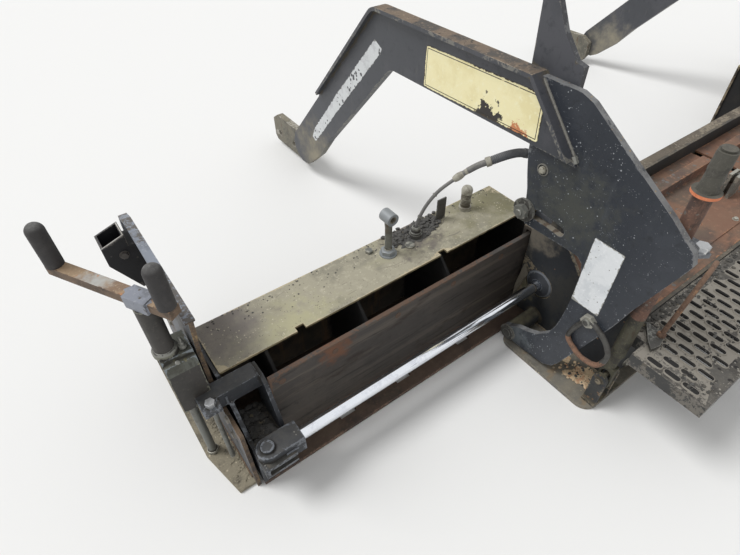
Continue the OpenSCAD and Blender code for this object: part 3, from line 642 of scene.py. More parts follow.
        layers=[
            specks(110, 0.4, 0.16, (128, 104, 80), 0.8),
            rubbed(0.002, (142, 142, 142), 0.5, 0.2)]),
    "sensorPale": dict(
        colours=((154, 151, 138), (128, 124, 112), (172, 169, 157)), scale=40, rough=0.5, bump=0.3,
        layers=[
            grime(0.006, (74, 68, 56), 0.9),
            streaks((1, 1, 0.4), 60, 0.58, 0.1, (98, 90, 74), 0.8)]),
    "darkSteel": dict(
        colours=((70, 69, 66), (56, 54, 51), (86, 84, 79)), scale=22, rough=0.55, metal=0.2, bump=0.4,
        layers=[
            grime(0.006, (38, 35, 31), 0.9),
            rubbed(0.0014, (128, 128, 122), 0.4, 0.5)]),
    "headSteel": dict(
        colours=((80, 83, 82), (68, 68, 65), (96, 99, 98)), scale=24, rough=0.5, bump=0.4,
        layers=[
            specks(120, 0.4, 0.14, (72, 66, 58), 0.8),
            rubbed(0.0014, (134, 138, 140), 0.5, 0.2)]),
    "freshRust": dict(
        colours=((124, 94, 76), (98, 78, 66), (144, 112, 90)), scale=60, rough=0.9, bump=0.8,
        layers=[specks(160, 0.4, 0.16, (92, 66, 52), 0.9)]),
    "rodRust": dict(
        colours=((116, 92, 76), (94, 72, 60), (136, 112, 92)), scale=40, rough=0.85, bump=0.6,
        layers=[streaks((1, 1, 1), 50, 0.58, 0.1, (152, 118, 90), 0.9)]),
    "crumbDark": dict(
        colours=((82, 81, 79), (62, 61, 60), (104, 102, 97)), scale=60, rough=0.95, bump=0.8,
        layers=[specks(200, 0.4, 0.1, (140, 132, 118), 0.9)]),
    "crumbCream": dict(
        colours=((208, 184, 150), (184, 140, 106), (226, 212, 186)), scale=60, share=0.5, rough=0.95,
        bump=0.8,
        layers=[specks(200, 0.4, 0.14, (112, 84, 64), 0.9)]),
    "creamPlate": dict(
        colours=((240, 231, 184), (232, 221, 170), (243, 237, 200)), scale=9, rough=0.5, bump=0.12,
        layers=[
            specks(110, 0.3, 0.08, (110, 96, 70), 0.7),
            stain((1.213, -0.345, 0.795), 0.085, 34, 0.12, (48, 44, 42), 0.6),
            stain((1.213, -0.47, 0.797), 0.055, 60, 0.15, (198, 130, 88), 0.7),
            rubbed(0.0026, (74, 62, 46), 0.7)]),
    "darkLine": dict(
        colours=((40, 36, 30), (54, 46, 36), (30, 28, 26)), scale=30, rough=0.6, bump=0.1,
        layers=[specks(90, 0.5, 0.25, (206, 190, 142), 0.6)]),
    "whiteLabel": dict(
        colours=((222, 225, 227), (208, 212, 215), (231, 233, 235)), scale=14, rough=0.45, bump=0.08,
        layers=[
            specks(150, 0.3, 0.07, (140, 140, 136), 0.7),
            rubbed(0.0018, (150, 150, 144), 0.7)]),
    "wornStrip": dict(
        colours=((206, 209, 210), (190, 192, 194), (216, 218, 219)), scale=20, rough=0.5, bump=0.1,
        layers=[
            specks(60, 0.5, 0.3, (74, 75, 78), 0.6),
            rubbed(0.0012, (130, 130, 128), 0.7)]),
    "zinc": dict(
        colours=((168, 170, 172), (146, 147, 148), (186, 187, 188)), scale=30, rough=0.4, metal=0.5,
        layers=[
            grime(0.004, (70, 62, 52), 0.9),
            rubbed(0.001, (206, 206, 204), 0.3, 0.7)]),
}

finishes = {name: makeFinish(name, facts) for name, facts in finishFacts.items()}
print("finishes:", len(finishes))


# Mesh helpers

meshFacts = {
    "corner": math.radians(28),
    "shadedSharp": math.radians(42),
    "flat": math.radians(0.8),
    "sameSpot": 0.00002,
    "cornerStep": 0.006,
    "farthest": 0.2,
    "cutShare": 0.37,
    "cutShift": 0.00031,
}


def edgePoints(bm):
    # points every few mm along the outer and the inner corners
    outer, inner = [], []
    for edge in bm.edges:
        if len(edge.link_faces) != 2 or edge.calc_face_angle(0.0) < meshFacts["corner"]:
            continue
        first, last = edge.verts[0].co, edge.verts[1].co
        steps = max(1, int((last - first).length / meshFacts["cornerStep"]))
        kept = outer if edge.calc_face_angle_signed(0.0) > 0 else inner
        kept.extend(first.lerp(last, i / steps) for i in range(steps + 1))
    return outer, inner


def treeOf(points):
    tree = kdtree.KDTree(max(1, len(points)))
    for index, point in enumerate(points or [Vector((99, 99, 99))]):
        tree.insert(point, index)
    tree.balance()
    return tree


def gridCut(bm, cell):
    # cuts the faces along a grid, so that values stored at the corners vary over them
    low = [min(v.co[i] for v in bm.verts) for i in range(3)]
    high = [max(v.co[i] for v in bm.verts) for i in range(3)]
    for axis in range(3):
        count = int((high[axis] - low[axis]) / cell)
        for step in range(1, count + 1):
            middle, normal = Vector((0, 0, 0)), Vector((0, 0, 0))
            reach = (high[axis] - low[axis]) * (step - meshFacts["cutShare"]) / (count + 1)
            middle[axis] = low[axis] + reach + meshFacts["cutShift"]
            normal[axis] = 1
            geometry = bm.verts[:] + bm.edges[:] + bm.faces[:]
            bmesh.ops.bisect_plane(
                bm, geom=geometry, dist=meshFacts["sameSpot"], plane_co=middle, plane_no=normal)


def roundOff(bm, width):
    picked = [e for e in bm.edges if len(e.link_faces) == 2
              and e.calc_face_angle(0.0) > meshFacts["corner"] and e.calc_length() > width * 1.6]
    if width > 0 and picked:
        bmesh.ops.bevel(
            bm, geom=picked, offset=width, segments=2, profile=0.6, affect="EDGES", clamp_overlap=True)


def storeMesh(bm, name, outer=None, inner=None):
    # keeps with each corner of the mesh how far the nearest outer and inner corner of the shape is
    if outer is None:
        bmesh.ops.recalc_face_normals(bm, faces=bm.faces[:])
        outer, inner = edgePoints(bm)
    for face in bm.faces:
        face.smooth = True
    for edge in bm.edges:
        hard = len(edge.link_faces) == 2 and edge.calc_face_angle(0.0) > meshFacts["shadedSharp"]
        edge.smooth = not hard
    mesh = bpy.data.meshes.new(name)
    bm.to_mesh(mesh)
    bm.free()
    for title, points in (("edgeDist", outer), ("cornerDist", inner)):
        tree = treeOf(points)
        values = [min(meshFacts["farthest"], tree.find(v.co)[2]) for v in mesh.vertices]
        mesh.attributes.new(title, "FLOAT", "POINT").data.foreach_set("value", values)
    return mesh


def show(name, mesh, finish):
    # adds a piece with its finish, or with its list of finishes
    if name in bpy.data.objects:
        raise ValueError(name)
    piece = bpy.data.objects.new(name, mesh)
    bpy.context.scene.collection.objects.link(piece)
    for index, each in enumerate(finish if isinstance(finish, list) else [finish]):
        if index < len(mesh.materials):
            mesh.materials[index] = finishes[each]
        else:
            mesh.materials.append(finishes[each])
    return piece


def place(name, mesh, finish, body, slotName, stands=()):
    piece = show(name, mesh, finish)
    piece.modifiers.new("flatFaces", "WEIGHTED_NORMAL").keep_sharp = True
    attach(piece, body)
    if stands:
        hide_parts(*stands)


def mirrored(mesh, name):
    other = mesh.copy()
    other.name = name
    other.transform(Matrix.Scale(-1, 4, Vector((1, 0, 0))))
    other.flip_normals()
    return other


def placePair(name, bm, finish, body, slotName):
    # built for the left side and mirrored for the right one
    mesh = storeMesh(bm, "left_" + name)
    for side in sides:
        piece = mesh if side == "left" else mirrored(mesh, side + "_" + name)
        place(side + "_" + name, piece, finish, body if body == "main" else body + "_" + side, slotName)


def cadMesh(node, bevel, cell, pick=None, shape=None, trim=None):
    # a node's own mesh with rounded edges; pick chooses the finish of a face, trim and shape change the form
    bm = bmesh.new()
    bm.from_mesh(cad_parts[node].data)
    for layer in list(bm.loops.layers.uv):
        bm.loops.layers.uv.remove(layer)
    bmesh.ops.remove_doubles(bm, verts=bm.verts[:], dist=meshFacts["sameSpot"])
    bmesh.ops.dissolve_limit(bm, angle_limit=meshFacts["flat"], verts=bm.verts[:], edges=bm.edges[:])
    if trim:
        trim(bm)
    bmesh.ops.recalc_face_normals(bm, faces=bm.faces[:])
    outer, inner = edgePoints(bm)
    roundOff(bm, bevel)
    gridCut(bm, cell)
    bm.normal_update()
    for face in bm.faces:
        face.material_index = 0
        if pick:
            centre, normal = face.calc_center_median(), face.normal
            away = math.copysign(1, centre.x) * normal.x
            face.material_index = pick(*drawn(centre), (away, normal.y, normal.z))
    if shape:
        shape(bm)
    return storeMesh(bm, node, outer, inner)


def loft(bm, rings, closed=False, finish=0):
    # skin over rings of points, capped at both ends unless it closes on itself
    loops = [[bm.verts.new(p) for p in ring] for ring in rings]
    count = len(loops[0])
    for lower, upper in zip(loops, loops[1:] + loops[:1] if closed else loops[1:]):
        for i in range(count):
            after = (i + 1) % count
            face = bm.faces.new((lower[i], lower[after], upper[after], upper[i]))
            face.material_index = finish
    if not closed:
        bm.faces.new(loops[0][::-1]).material_index = finish
        bm.faces.new(loops[-1]).material_index = finish


def acrossOf(axis):
    first = axis.orthogonal().normalized()
    return first, axis.cross(first).normalized()


def turned(bm, base, axis, profile, count=20, finish=0, closed=False, turn=0.0):
    # profile: radius and height in mm from the base, base in part metres
    axis = Vector(axis).normalized()
    first, second = acrossOf(axis)
    angles = [math.tau * i / count + turn for i in range(count)]
    rings = []
    for radius, height in profile:
        rings.append([base + (axis * height + (first * math.cos(a) + second * math.sin(a)) * radius) * 0.001
                      for a in angles])
    loft(bm, rings, closed, finish)


def turnedParts(bm, rows):
    # rows: place in drawing mm, axis, corners of the ring, finish, whether it is a ring, profile
    for base, axis, count, finish, closed, profile in rows:
        turned(bm, onLeft(*base), axis, profile, count, finish, closed)


def boltHead(bm, base, axis, width, height, finish=0, washer=1.3, turn=0.0):
    # hexagon head with a washer and a domed top
    radius = width / math.sqrt(3)
    wide = radius * washer
    under = [(wide, -0.5), (wide, height * 0.16), (wide - 0.8, height * 0.22)]
    head = [(radius, height * 0.2), (radius, height * 0.86), (radius * 0.86, height)]
    turned(bm, base, axis, under, 20, finish)
    turned(bm, base, axis, head, 6, finish, turn=turn)


def tubeAlong(bm, line, radii, count=12, finish=0, closed=False):
    # round skin along a line in part metres, with a radius in mm for each point
    rings = []
    side = None
    for i, point in enumerate(line):
        before = line[i - 1] if i or closed else point
        after = line[(i + 1) % len(line)] if i + 1 < len(line) or closed else point
        along = (after - before).normalized()
        side = acrossOf(along)[0] if side is None else (side - along * side.dot(along)).normalized()
        other = along.cross(side)
        radius = (radii[i] if isinstance(radii, (list, tuple)) else radii) * 0.001
        rings.append([point + (side * math.cos(a) + other * math.sin(a)) * radius
                      for a in (math.tau * k / count for k in range(count))])
    loft(bm, rings, closed, finish)


def weldBead(bm, start, end, radius, finish, seed):
    # overlapping ripples along a seam, half sunk in it
    length = (end - start).length * 1000
    steps = max(4, int(length / (radius * 0.55)))
    line, radii = [], []
    for i in range(steps + 1):
        wobble = noise.noise(Vector((i * 0.37, seed, 2.1)))
        line.append(start.lerp(end, i / steps) + Vector((0, 0.0004, 0.0004)) * wobble)
        radii.append(radius * (0.82 + 0.16 * (i % 2) + 0.2 * wobble))
    tubeAlong(bm, line, radii, 8, finish)


def weldSeams(bm, rows):
    # rows: both ends in drawing mm, radius, finish
    for seed, (start, end, radius, finish) in enumerate(rows, 1):
        weldBead(bm, onLeft(*start), onLeft(*end), radius, finish, seed)


def smoothLine(points, steps):
    # Catmull-Rom line through the points
    padded = [points[0] * 2 - points[1]] + list(points) + [points[-1] * 2 - points[-2]]
    line = []
    for i in range(1, len(padded) - 2):
        a, b, c, d = padded[i - 1:i + 3]
        for step in range(steps):
            t = step / steps
            curve = (2 * a - 5 * b + 4 * c - d) * t * t + (3 * b - a - 3 * c + d) * t ** 3
            line.append(0.5 * (2 * b + (c - a) * t + curve))
    line.append(points[-1].copy())
    return line


def denser(points, step):
    made = []
    for a, b in zip(points, points[1:] + points[:1]):
        a, b = Vector(a), Vector(b)
        count = max(1, int((b - a).length / step))
        made.extend(a.lerp(b, i / count) for i in range(count))
    return made


moundFacts = {
    "step": 7,
    "inset": 0.10,
    "rings": ((0, -0.4), (0.03, 0.5), (0.14, 0.72), (0.32, 0.9), (0.55, 0.9), (0.8, 0.95), (0.97, 0.9)),
}


def mound(bm, corners, z, height, seed, finish=0):
    # ragged heap on the left side: corners as out and y in mm
    outline = denser(corners, moundFacts["step"])
    middle = sum(outline, Vector((0, 0))) / len(outline)
    shaken = []
    for point in outline:
        push = noise.noise(Vector((*point, seed * 9)) * 0.045)
        push += 0.5 * noise.noise(Vector((*point, seed * 5)) * 0.16)
        shaken.append(point.lerp(middle, moundFacts["inset"] - 0.28 * push))
    rings = []
    for share, lift in moundFacts["rings"]:
        ring = []
        for point in shaken:
            p = point.lerp(middle, share)
            bump = noise.noise(Vector((*p, seed)) * 0.09) + 0.7 * noise.noise(Vector((*p, seed)) * 0.3)
            raised = height * lift * (0.75 + 0.6 * bump) if lift > 0 else lift
            ring.append(onLeft(p.x, p.y, z + raised))
        rings.append(ring)
    loft(bm, rings, finish=finish)


def crumb(bm, centre, size, seed, finish=0):
    # one uneven lump, size in mm
    shape = Matrix.Translation(centre) @ Matrix.Diagonal((1.25, 1.0, 0.7, 1.0))
    made = bmesh.ops.create_icosphere(bm, subdivisions=1, radius=size * 0.0005, matrix=shape)
    faces = set()
    for vert in made["verts"]:
        away = vert.co - centre
        vert.co = centre + away * (1 + 0.55 * noise.noise(away * 300 + Vector((seed, 0, 0))))
        faces.update(vert.link_faces)
    for face in faces:
        face.material_index = finish


def strew(bm, dice, facts, pickPlace):
    # crumbs at the places in drawing mm that pickPlace draws, a share of them with the second finish
    for i in range(facts["count"]):
        point = pickPlace(dice, facts)
        if point:
            size = dice.uniform(*facts["size"])
            second = "second" in facts and dice.random() < facts["second"]
            crumb(bm, onLeft(*point), size, i + facts["firstSeed"], int(second))


def fromLine(dice, facts):
    # a place on the rear side of a line along the screed, or none past the rearmost
    out = dice.uniform(*facts["out"])
    y = facts["y"] - abs(dice.gauss(0, facts["spread"]))
    return (out, y, facts["z"]) if y > facts["rearmost"] else None


def slab(bm, outline, low, high, finish=0):
    # upright plate on the left side: outline as y and z in mm, from out low to out high
    loft(bm, [[onLeft(out, y, z) for y, z in outline] for out in (low, high)], finish=finish)


# Cables: a thin lead from the deck's gland and a thick sleeve behind the arm, both on the solid's route.
# Numbers such as leadEnd, from, to and at count points along that route, and radii are in mm.

cableFacts = {
    "start": (1387, 316, 375),
    "end": (1004, 66, 556),
    "shares": [
        (0, 0, 0), (0, 0, 0.20), (0.01, 0.01, 0.36), (0.05, 0.04, 0.62), (0.10, 0.09, 0.86),
        (0.16, 0.14, 1.04), (0.23, 0.22, 1.22), (0.32, 0.31, 1.40), (0.40, 0.40, 1.54), (0.48, 0.48, 1.62),
        (0.58, 0.53, 1.66), (0.68, 0.55, 1.65), (0.78, 0.56, 1.60), (0.88, 0.58, 1.51), (0.95, 0.62, 1.37),
        (0.99, 0.68, 1.22), (1, 0.76, 1.09), (1, 0.84, 1.01), (1, 0.92, 1), (1, 1, 1)],
    "steps": 5,
    "corners": 14,
    "diameter": 0.018,
    "lead": 5.94,
    "leadEnd": 33,
    "knob": {"from": 31, "to": 37, "bulge": 12, "low": 6, "high": 6.5, "end": 9.5},
    "neck": {"from": 36, "to": 46, "radius": 10.4},
    "sleeve": {"from": 45, "to": 64, "radii": (14.2, 14.2, 12.4, 12.4)},
    "cuffs": {"at": ((43, 0), (62, 1)), "radius": 15.5},
    "ties": {"at": (12, 22), "shares": (0.1, 0.5), "radius": 8.2, "corners": 12},
}


def cableLine(sideName):
    start, end = cableFacts["start"], cableFacts["end"]
    points = [[a + (b - a) * s for a, b, s in zip(start, end, share)] for share in cableFacts["shares"]]
    return smoothLine([spot(sides[sideName], *point) for point in points], cableFacts["steps"])


def layCable(name, bm, finish):
    # from the deck's gland to the junction box, shown with its finish and baked into the part frame
    piece = show(name, storeMesh(bm, name), finish)
    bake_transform(piece)
    return piece


def makeCable(sideName):
    facts = cableFacts
    line = cableLine(sideName)
    full = facts["diameter"] * 500
    bm = bmesh.new()
    radii = [facts["lead"] if index < facts["leadEnd"] else full for index in range(len(line))]
    tubeAlong(bm, line, radii, facts["corners"])
    piece = layCable(sideName + "_cable_lead", bm, ["cableJacket"])
    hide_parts(sideName + "_cable")


def makeCableFittings(sideName):
    # knob where the thin lead ends, the neck after it, ribbed sleeve, cuffs at its ends, ties on the lead
    line = cableLine(sideName)
    knob, neck, sleeve, cuffs, ties = (cableFacts[k] for k in ("knob", "neck", "sleeve", "cuffs", "ties"))
    corners = cableFacts["corners"]
    bm = bmesh.new()
    path = smoothLine(line[knob["from"]:knob["to"]], 3)
    radii = [knob["end"]] * len(path)
    for i in range(knob["bulge"]):
        swell = math.sin(math.pi * min(1, (i + 1) / knob["bulge"])) ** 0.5
        radii[i] = knob["low"] + knob["high"] * swell
    tubeAlong(bm, path, radii, corners, 0)
    tubeAlong(bm, smoothLine(line[neck["from"]:neck["to"]], 3), neck["radius"], corners, 3)
    path = smoothLine(line[sleeve["from"]:sleeve["to"]], 6)
    tubeAlong(bm, path, [sleeve["radii"][i % 4] for i in range(len(path))], corners, 1)
    for first, finish in cuffs["at"]:
        tubeAlong(bm, smoothLine(line[first:first + 3], 3), cuffs["radius"], corners, finish)
    for index in ties["at"]:
        tie = [line[index].lerp(line[index + 1], t) for t in ties["shares"]]
        tubeAlong(bm, tie, ties["radius"], ties["corners"], 2)
    finish = ["sensorPale", "conduit", "darkSteel", "cableJacket"]
    layCable(sideName + "_cable_fittings", bm, finish)


for sideName in sides:
    makeCable(sideName)
    makeCableFittings(sideName)


# Choosers: which finish of its list each face of a carried-over node takes.
# They get the face's place in drawing mm and its normal, with the normal's x pointing outward.

faceFacts = {
    "slideRear": 107, "boardFront": 369.9,
    "clevisZ": 367.6, "clampBolt": (2235, 112), "clampReach": 8, "clampZ": 352.5,
    "boxOut": (2081, 2179), "boxZ": (150, 202),
    "blockTop": 526, "blockShadeTop": 484,
    "hub": (2273, 212), "hubReach": 39,
    "skiOut": 2212, "skiZ": 68, "bandZ": 500, "bandOut": (2198.5, 2211.5),
    "pivot": (-22, 50), "slotZ": 460, "slotReach": 531, "slotHalf": 27,
    "lugOut": 1179.5, "legTopZ": 300,
    "jack": (1148, -375), "jackGripZ": 853.6, "washerZ": 845.6, "washerReach": 22.4, "bracketReach": 22.6,
    "bracketZ": 700, "nutZ": 720.4, "jackTubeZ": 430,
    "boltOut": 1208.6,
    "plug": (1138, 331), "plugReach": 20, "gland": (1387, 316), "glandReach": 25, "darkBolts": (1230, 1276),
    "eyeBolt": (1517, 302), "eyeReach": 34,
    "hornOut": 1043,
}


def nearTo(key, out, y, reach):
    centre = faceFacts[key]
    return math.hypot(out - centre[0], y - centre[1]) < faceFacts[reach]


def pickFrame(out, y, z, n):
    # slide plate, inside as painted shade, front board
    if y < faceFacts["slideRear"]:
        return 0
    return 2 if y > faceFacts["boardFront"] else 1


def pickEnd(out, y, z, n):
    # black paint, dirt in the box, clevis, clamp bolt
    if z > faceFacts["clevisZ"]:
        return 2
    if nearTo("clampBolt", out, y, "clampReach") and z < faceFacts["clampZ"]:
        return 3
    return int(n[2] > 0.5 and between(z, faceFacts["boxZ"]) and between(out, faceFacts["boxOut"]))


def pickBlock(out, y, z, n):
    # the post above the block's top has its own dark finish; the same finish on the block's lower rear-facing
    # faces is painted shade
    return int(z > faceFacts["blockTop"] or (n[1] < -0.6 and z < faceFacts["blockShadeTop"]))


def pickCrank(out, y, z, n):
    # top of the bar, hub, sides in a darker copy of the top's finish as painted shade
    if nearTo("hub", out, y, "hubReach"):
        return 1
    return 0 if n[2] > 0.5 else 2


def pickGate(out, y, z, n):
    # plate, band along its top, edges, ski
    low, high = faceFacts["bandOut"]
    if out > faceFacts["skiOut"] and z < faceFacts["skiZ"]:
        return 3
    if z > faceFacts["bandZ"] and (out > high or out < low or n[2] > 0.3):
        return 1
    return 2 if abs(n[0]) < 0.4 and n[1] < 0.3 else 0


def pickArm(out, y, z, n):
    # faces, edges, inside of the guide slot
    if abs(n[0]) > 0.5:
        return 0
    reach = math.hypot(y - faceFacts["pivot"][0], z - faceFacts["pivot"][1])
    inSlot = z > faceFacts["slotZ"] and abs(reach - faceFacts["slotReach"]) < faceFacts["slotHalf"]
    return 2 if inSlot else 1


def pickBeam(out, y, z, n):
    # sides, tops that face the weather, lift lug
    if out < faceFacts["lugOut"]:
        return 2
    return int(n[2] > 0.8 or (n[2] > 0.35 and n[1] > 0.2 and z > faceFacts["legTopZ"]))


def pickJack(out, y, z, n):
    # rusted tube, grip, washer, olive tube darkened as painted shade, bracket, nut
    reach = math.hypot(out - faceFacts["jack"][0], y - faceFacts["jack"][1])
    if z > faceFacts["jackGripZ"]:
        return 1
    if z > faceFacts["washerZ"] and reach > faceFacts["washerReach"]:
        return 2
    if reach > faceFacts["bracketReach"] and z > faceFacts["bracketZ"]:
        return 5 if z > faceFacts["nutZ"] else 4
    return 3 if z < faceFacts["jackTubeZ"] else 0


def pickBolts(out, y, z, n):
    return int(out < faceFacts["boltOut"])


def pickFittings(out, y, z, n):
    # steel, grade sensor's socket, gland and bolts
    if nearTo("plug", out, y, "plugReach"):
        return 1
    return 2 if nearTo("gland", out, y, "glandReach") or between(out, faceFacts["darkBolts"]) else 0


def pickMain(out, y, z, n):
    return int(out > faceFacts["hornOut"])


def pickFlat(out, y, z, n):
    return 0 if n[2] > 0.5 else 1


def dropEyeBolt(bm):
    # the eye bolt is built anew below, with the bore of its head facing the rear
    near = [v for v in bm.verts if nearTo("eyeBolt", *drawn(v.co)[:2], "eyeReach")]
    bmesh.ops.delete(bm, geom=near, context="VERTS")


gripFacts = {"z": (855, 959), "core": 4, "shift": -1.6, "swell": 2.4, "scale": 0.07}


def lumpyGrip(bm):
    # the depth jacks' tarred hand grips are uneven
    for vert in bm.verts:
        out, y, z = drawn(vert.co)
        reach = Vector((out - faceFacts["jack"][0], y - faceFacts["jack"][1], 0))
        if between(z, gripFacts["z"]) and reach.length > gripFacts["core"]:
            lump = noise.noise(Vector((out, y, z)) * gripFacts["scale"])
            away = reach.normalized() * (gripFacts["shift"] + gripFacts["swell"] * lump)
            vert.co.x += math.copysign(away.x, away.x * vert.co.x) * 0.001
            vert.co.y += away.y * 0.001


# Carried-over nodes, with rounded edges: finish, slot, body, edge rounding, cell, chooser, shape, trim

carriedNodes = {
    "main_plate": ("plateSteel", "plate_steel", "main", 0.002, 0.05),
    "main_frame": (["blackPaint", "hornPaint"], "black_paint", "main", 0.0015, 0.05, pickMain),
    "gib_rails": ("gibSteel", "bare_steel", "main", 0.0012, 0.08),
    "main_deck": ("rustyDeck", "rusty_deck", "main", 0.001, 0.07),
    "cylinder_barrels": ("blackPaint", "black_paint", "main", 0.0015, 0.06),
    "pivot_pins": ("darkSteel", "olive_paint", "main", 0.002, 0.02),
    "guide_bolts": (["bareSteel", "darkSteel"], "bare_steel", "main", 0.0015, 0.02, pickBolts),
    "walkway_frame": (["walkwaySteel", "fasciaSteel"], "black_paint", "main", 0.0012, 0.05, pickFlat),
    "crown_turnbuckle": ("bareSteel", "bare_steel", "main", 0.001, 0.04),
    # the walkway plate's faces that don't look up, the slot walls among them, take painted shade
    "walkway": (["walkwaySteel", "slotPaintedShade"], "walkway_steel", "main", 0.0008, 0.2, pickFlat),
    "ext_plate": ("ledgeSteel", "plate_steel", "ext", 0.002, 0.05),
    "ext_frame": (["slideSteel", "innerPaintedShade", "frontBoard"], "slide_steel", "ext", 0.0012, 0.04, pickFrame),
    "ext_deck": (["weatheredDeck", "deckSide"], "weathered_deck", "ext", 0.0015, 0.05, pickFlat),
    "ext_end": (["endBlack", "boxDirt", "zinc", "bareSteel"], "black_paint", "ext", 0.0015, 0.025, pickEnd),
    "rod": ("chrome", "chrome", "ext", 0.001, 0.2),
    "jack_block": (["olivePaint", "postDarkAndShade"], "olive_paint", "ext", 0.003, 0.025, pickBlock),
    "crank": (["crankSteel", "hubSteel", "crankSideShaded"], "crank_steel", "ext", 0.0015, 0.02, pickCrank),
    "crank_grips": ("gripRubber", "grip_rubber", "ext", 0.002, 0.02),
    "deck_fittings": (
        ["bareSteel", "sensorPale", "darkSteel"], "bare_steel", "ext", 0.0012, 0.03, pickFittings, None,
        dropEyeBolt),
    "gate_plate": (
        ["gateSteel", "bandSteel", "gateEdge", "skiDirt"], "gate_steel", "gate", 0.0018, 0.03, pickGate),
    "gate_pocket": ("pocketBlack", "black_paint", "gate", 0.001, 0.03),
    "gate_screw": ("bareSteel", "bare_steel", "gate", 0.001, 0.04),
    "arm_plate": (["armPaint", "armEdge", "slotRust"], "arm_paint", "arm", 0.002, 0.03, pickArm),
    "arm_beam": (["beamPaint", "beamTop", "lugPaint"], "arm_paint", "arm", 0.002, 0.04, pickBeam),
    "tow_coupler": ("grayPaint", "gray_paint", "arm", 0.002, 0.04),
    "depth_jack": (
        ["jackSteel", "jackGrip", "washerOrange", "tubeOliveShaded", "bracketSteel", "zinc"], "jack_steel", "arm",
        0.001, 0.012, pickJack, lumpyGrip),
}

for part, (finish, slotName, body, *shaping) in carriedNodes.items():
    if body == "main":
        place("dressed_" + part, cadMesh(part, *shaping), finish, body, slotName, [part])
        continue
    mesh = cadMesh("left_" + part, *shaping)
    for side in sides:
        node = side + "_" + part
        sideMesh = mesh if side == "left" else mirrored(mesh, node)
        place("dressed_" + node, sideMesh, finish, body + "_" + side, slotName, [node])
print("carried-over nodes dressed")


# Walkway: pressed lips round the slots, and blind slots in the strips beside them; the lips' inner slopes,
# the slot walls and the blind slots' floors are painted shade

walkFacts = {
    "rows": 58, "start": -1080.0, "pitch": 2160 / 57, "rear": -609.0, "step": 53.75, "top": 322.0,
    "half": (6.0, 20.4), "corner": 5.4,
    "profile": ((-1.0, -1.0), (-1.0, 0.8), (2.6, 3.8), (4.4, 3.4), (6.6, -0.5)),
    "blindOut": 1158, "blindFront": -450, "blindLift": 0.4, "dent": (0.72, 1.12), "seed": 4,
}


def stadium(middle, grow, z, steps=3):
    # oval ring of points round a slot that is narrow in x and long in y
    width, length = walkFacts["half"]
    corner = walkFacts["corner"]
    reach = corner + grow
    made = []
    for quarter, (sx, sy) in enumerate(((1, 1), (-1, 1), (-1, -1), (1, -1))):
        for step in range(steps):
            turn = math.radians(90 * (quarter + step / (steps - 1)))
            x = middle[0] + sx * (width - corner) + reach * math.cos(turn)
            y = middle[1] + sy * (length - corner) + reach * math.sin(turn)
            made.append(spot(1, x, y, z))
    return made


def makeLips():
    facts = walkFacts
    bm = bmesh.new()
    dice = random.Random(facts["seed"])
    for i in range(-2, facts["rows"] + 2):
        blind = i < 0 or i >= facts["rows"]
        for j in range(4 - i % 2):
            x = facts["start"] + i * facts["pitch"]
            y = facts["rear"] + (j + 0.5 + (i % 2) / 2) * facts["step"]
            if blind and (y > facts["blindFront"] or abs(x) > facts["blindOut"]):
                continue
            dent = dice.uniform(*facts["dent"])
            before = len(bm.faces)
            rings = [stadium((x, y), grow, facts["top"] + (lift * dent if lift > 0 else lift))
                     for grow, lift in facts["profile"]]
            loft(bm, rings, closed=True)
            # the inner wall and the inner slope of each lip are painted shade, so the opening looks dark and
            # wide
            bm.faces.ensure_lookup_table()
            for face in bm.faces[before:before + 2 * len(rings[0])]:
                face.material_index = 1
            # a blind slot's floor is a sheet of painted shade
            if blind:
                floor = stadium((x, y), 0, facts["top"] + facts["blindLift"])
                bm.faces.new([bm.verts.new(p) for p in floor]).material_index = 1
    place("walkway_lips", storeMesh(bm, "walkway_lips"), ["lipSteel", "slotPaintedShade"], "main", "walkway_steel")


makeLips()
print("walkway lips")


# Main screed: latch of the step plate, seal rings round the rods, bolts, seams and mix left on the plates

latchFacts = {
    "foot": [(1046, -373), (1049, -437), (1098, -452), (1132, -444), (1107, -418)],
    "footZ": (322.2, 334),
    "rounding": 0.002,
    "collar": [((1061, -431, 333), (0.1, 0, 1), 18, 1, False, [(13, 0), (13, 7), (11, 9), (8, 10)])],
    "rod": [(1061, -431, 334), (1020, -429, 390), (936, -423, 490), (918, -421, 501), (859, -411, 500)],
    "rodRadius": 7.5,
}


def makeLatch():
    facts = latchFacts
    bm = bmesh.new()
    loft(bm, [[onLeft(out, y, z) for out, y in facts["foot"]] for z in facts["footZ"]])
    bmesh.ops.recalc_face_normals(bm, faces=bm.faces[:])
    roundOff(bm, facts["rounding"])
    turnedParts(bm, facts["collar"])
    rod = smoothLine([onLeft(*point) for point in facts["rod"]], 6)
    tubeAlong(bm, rod, facts["rodRadius"], 10, 1)
    placePair("step_latch", bm, ["darkSteel", "rodRust"], "main", "walkway_steel")


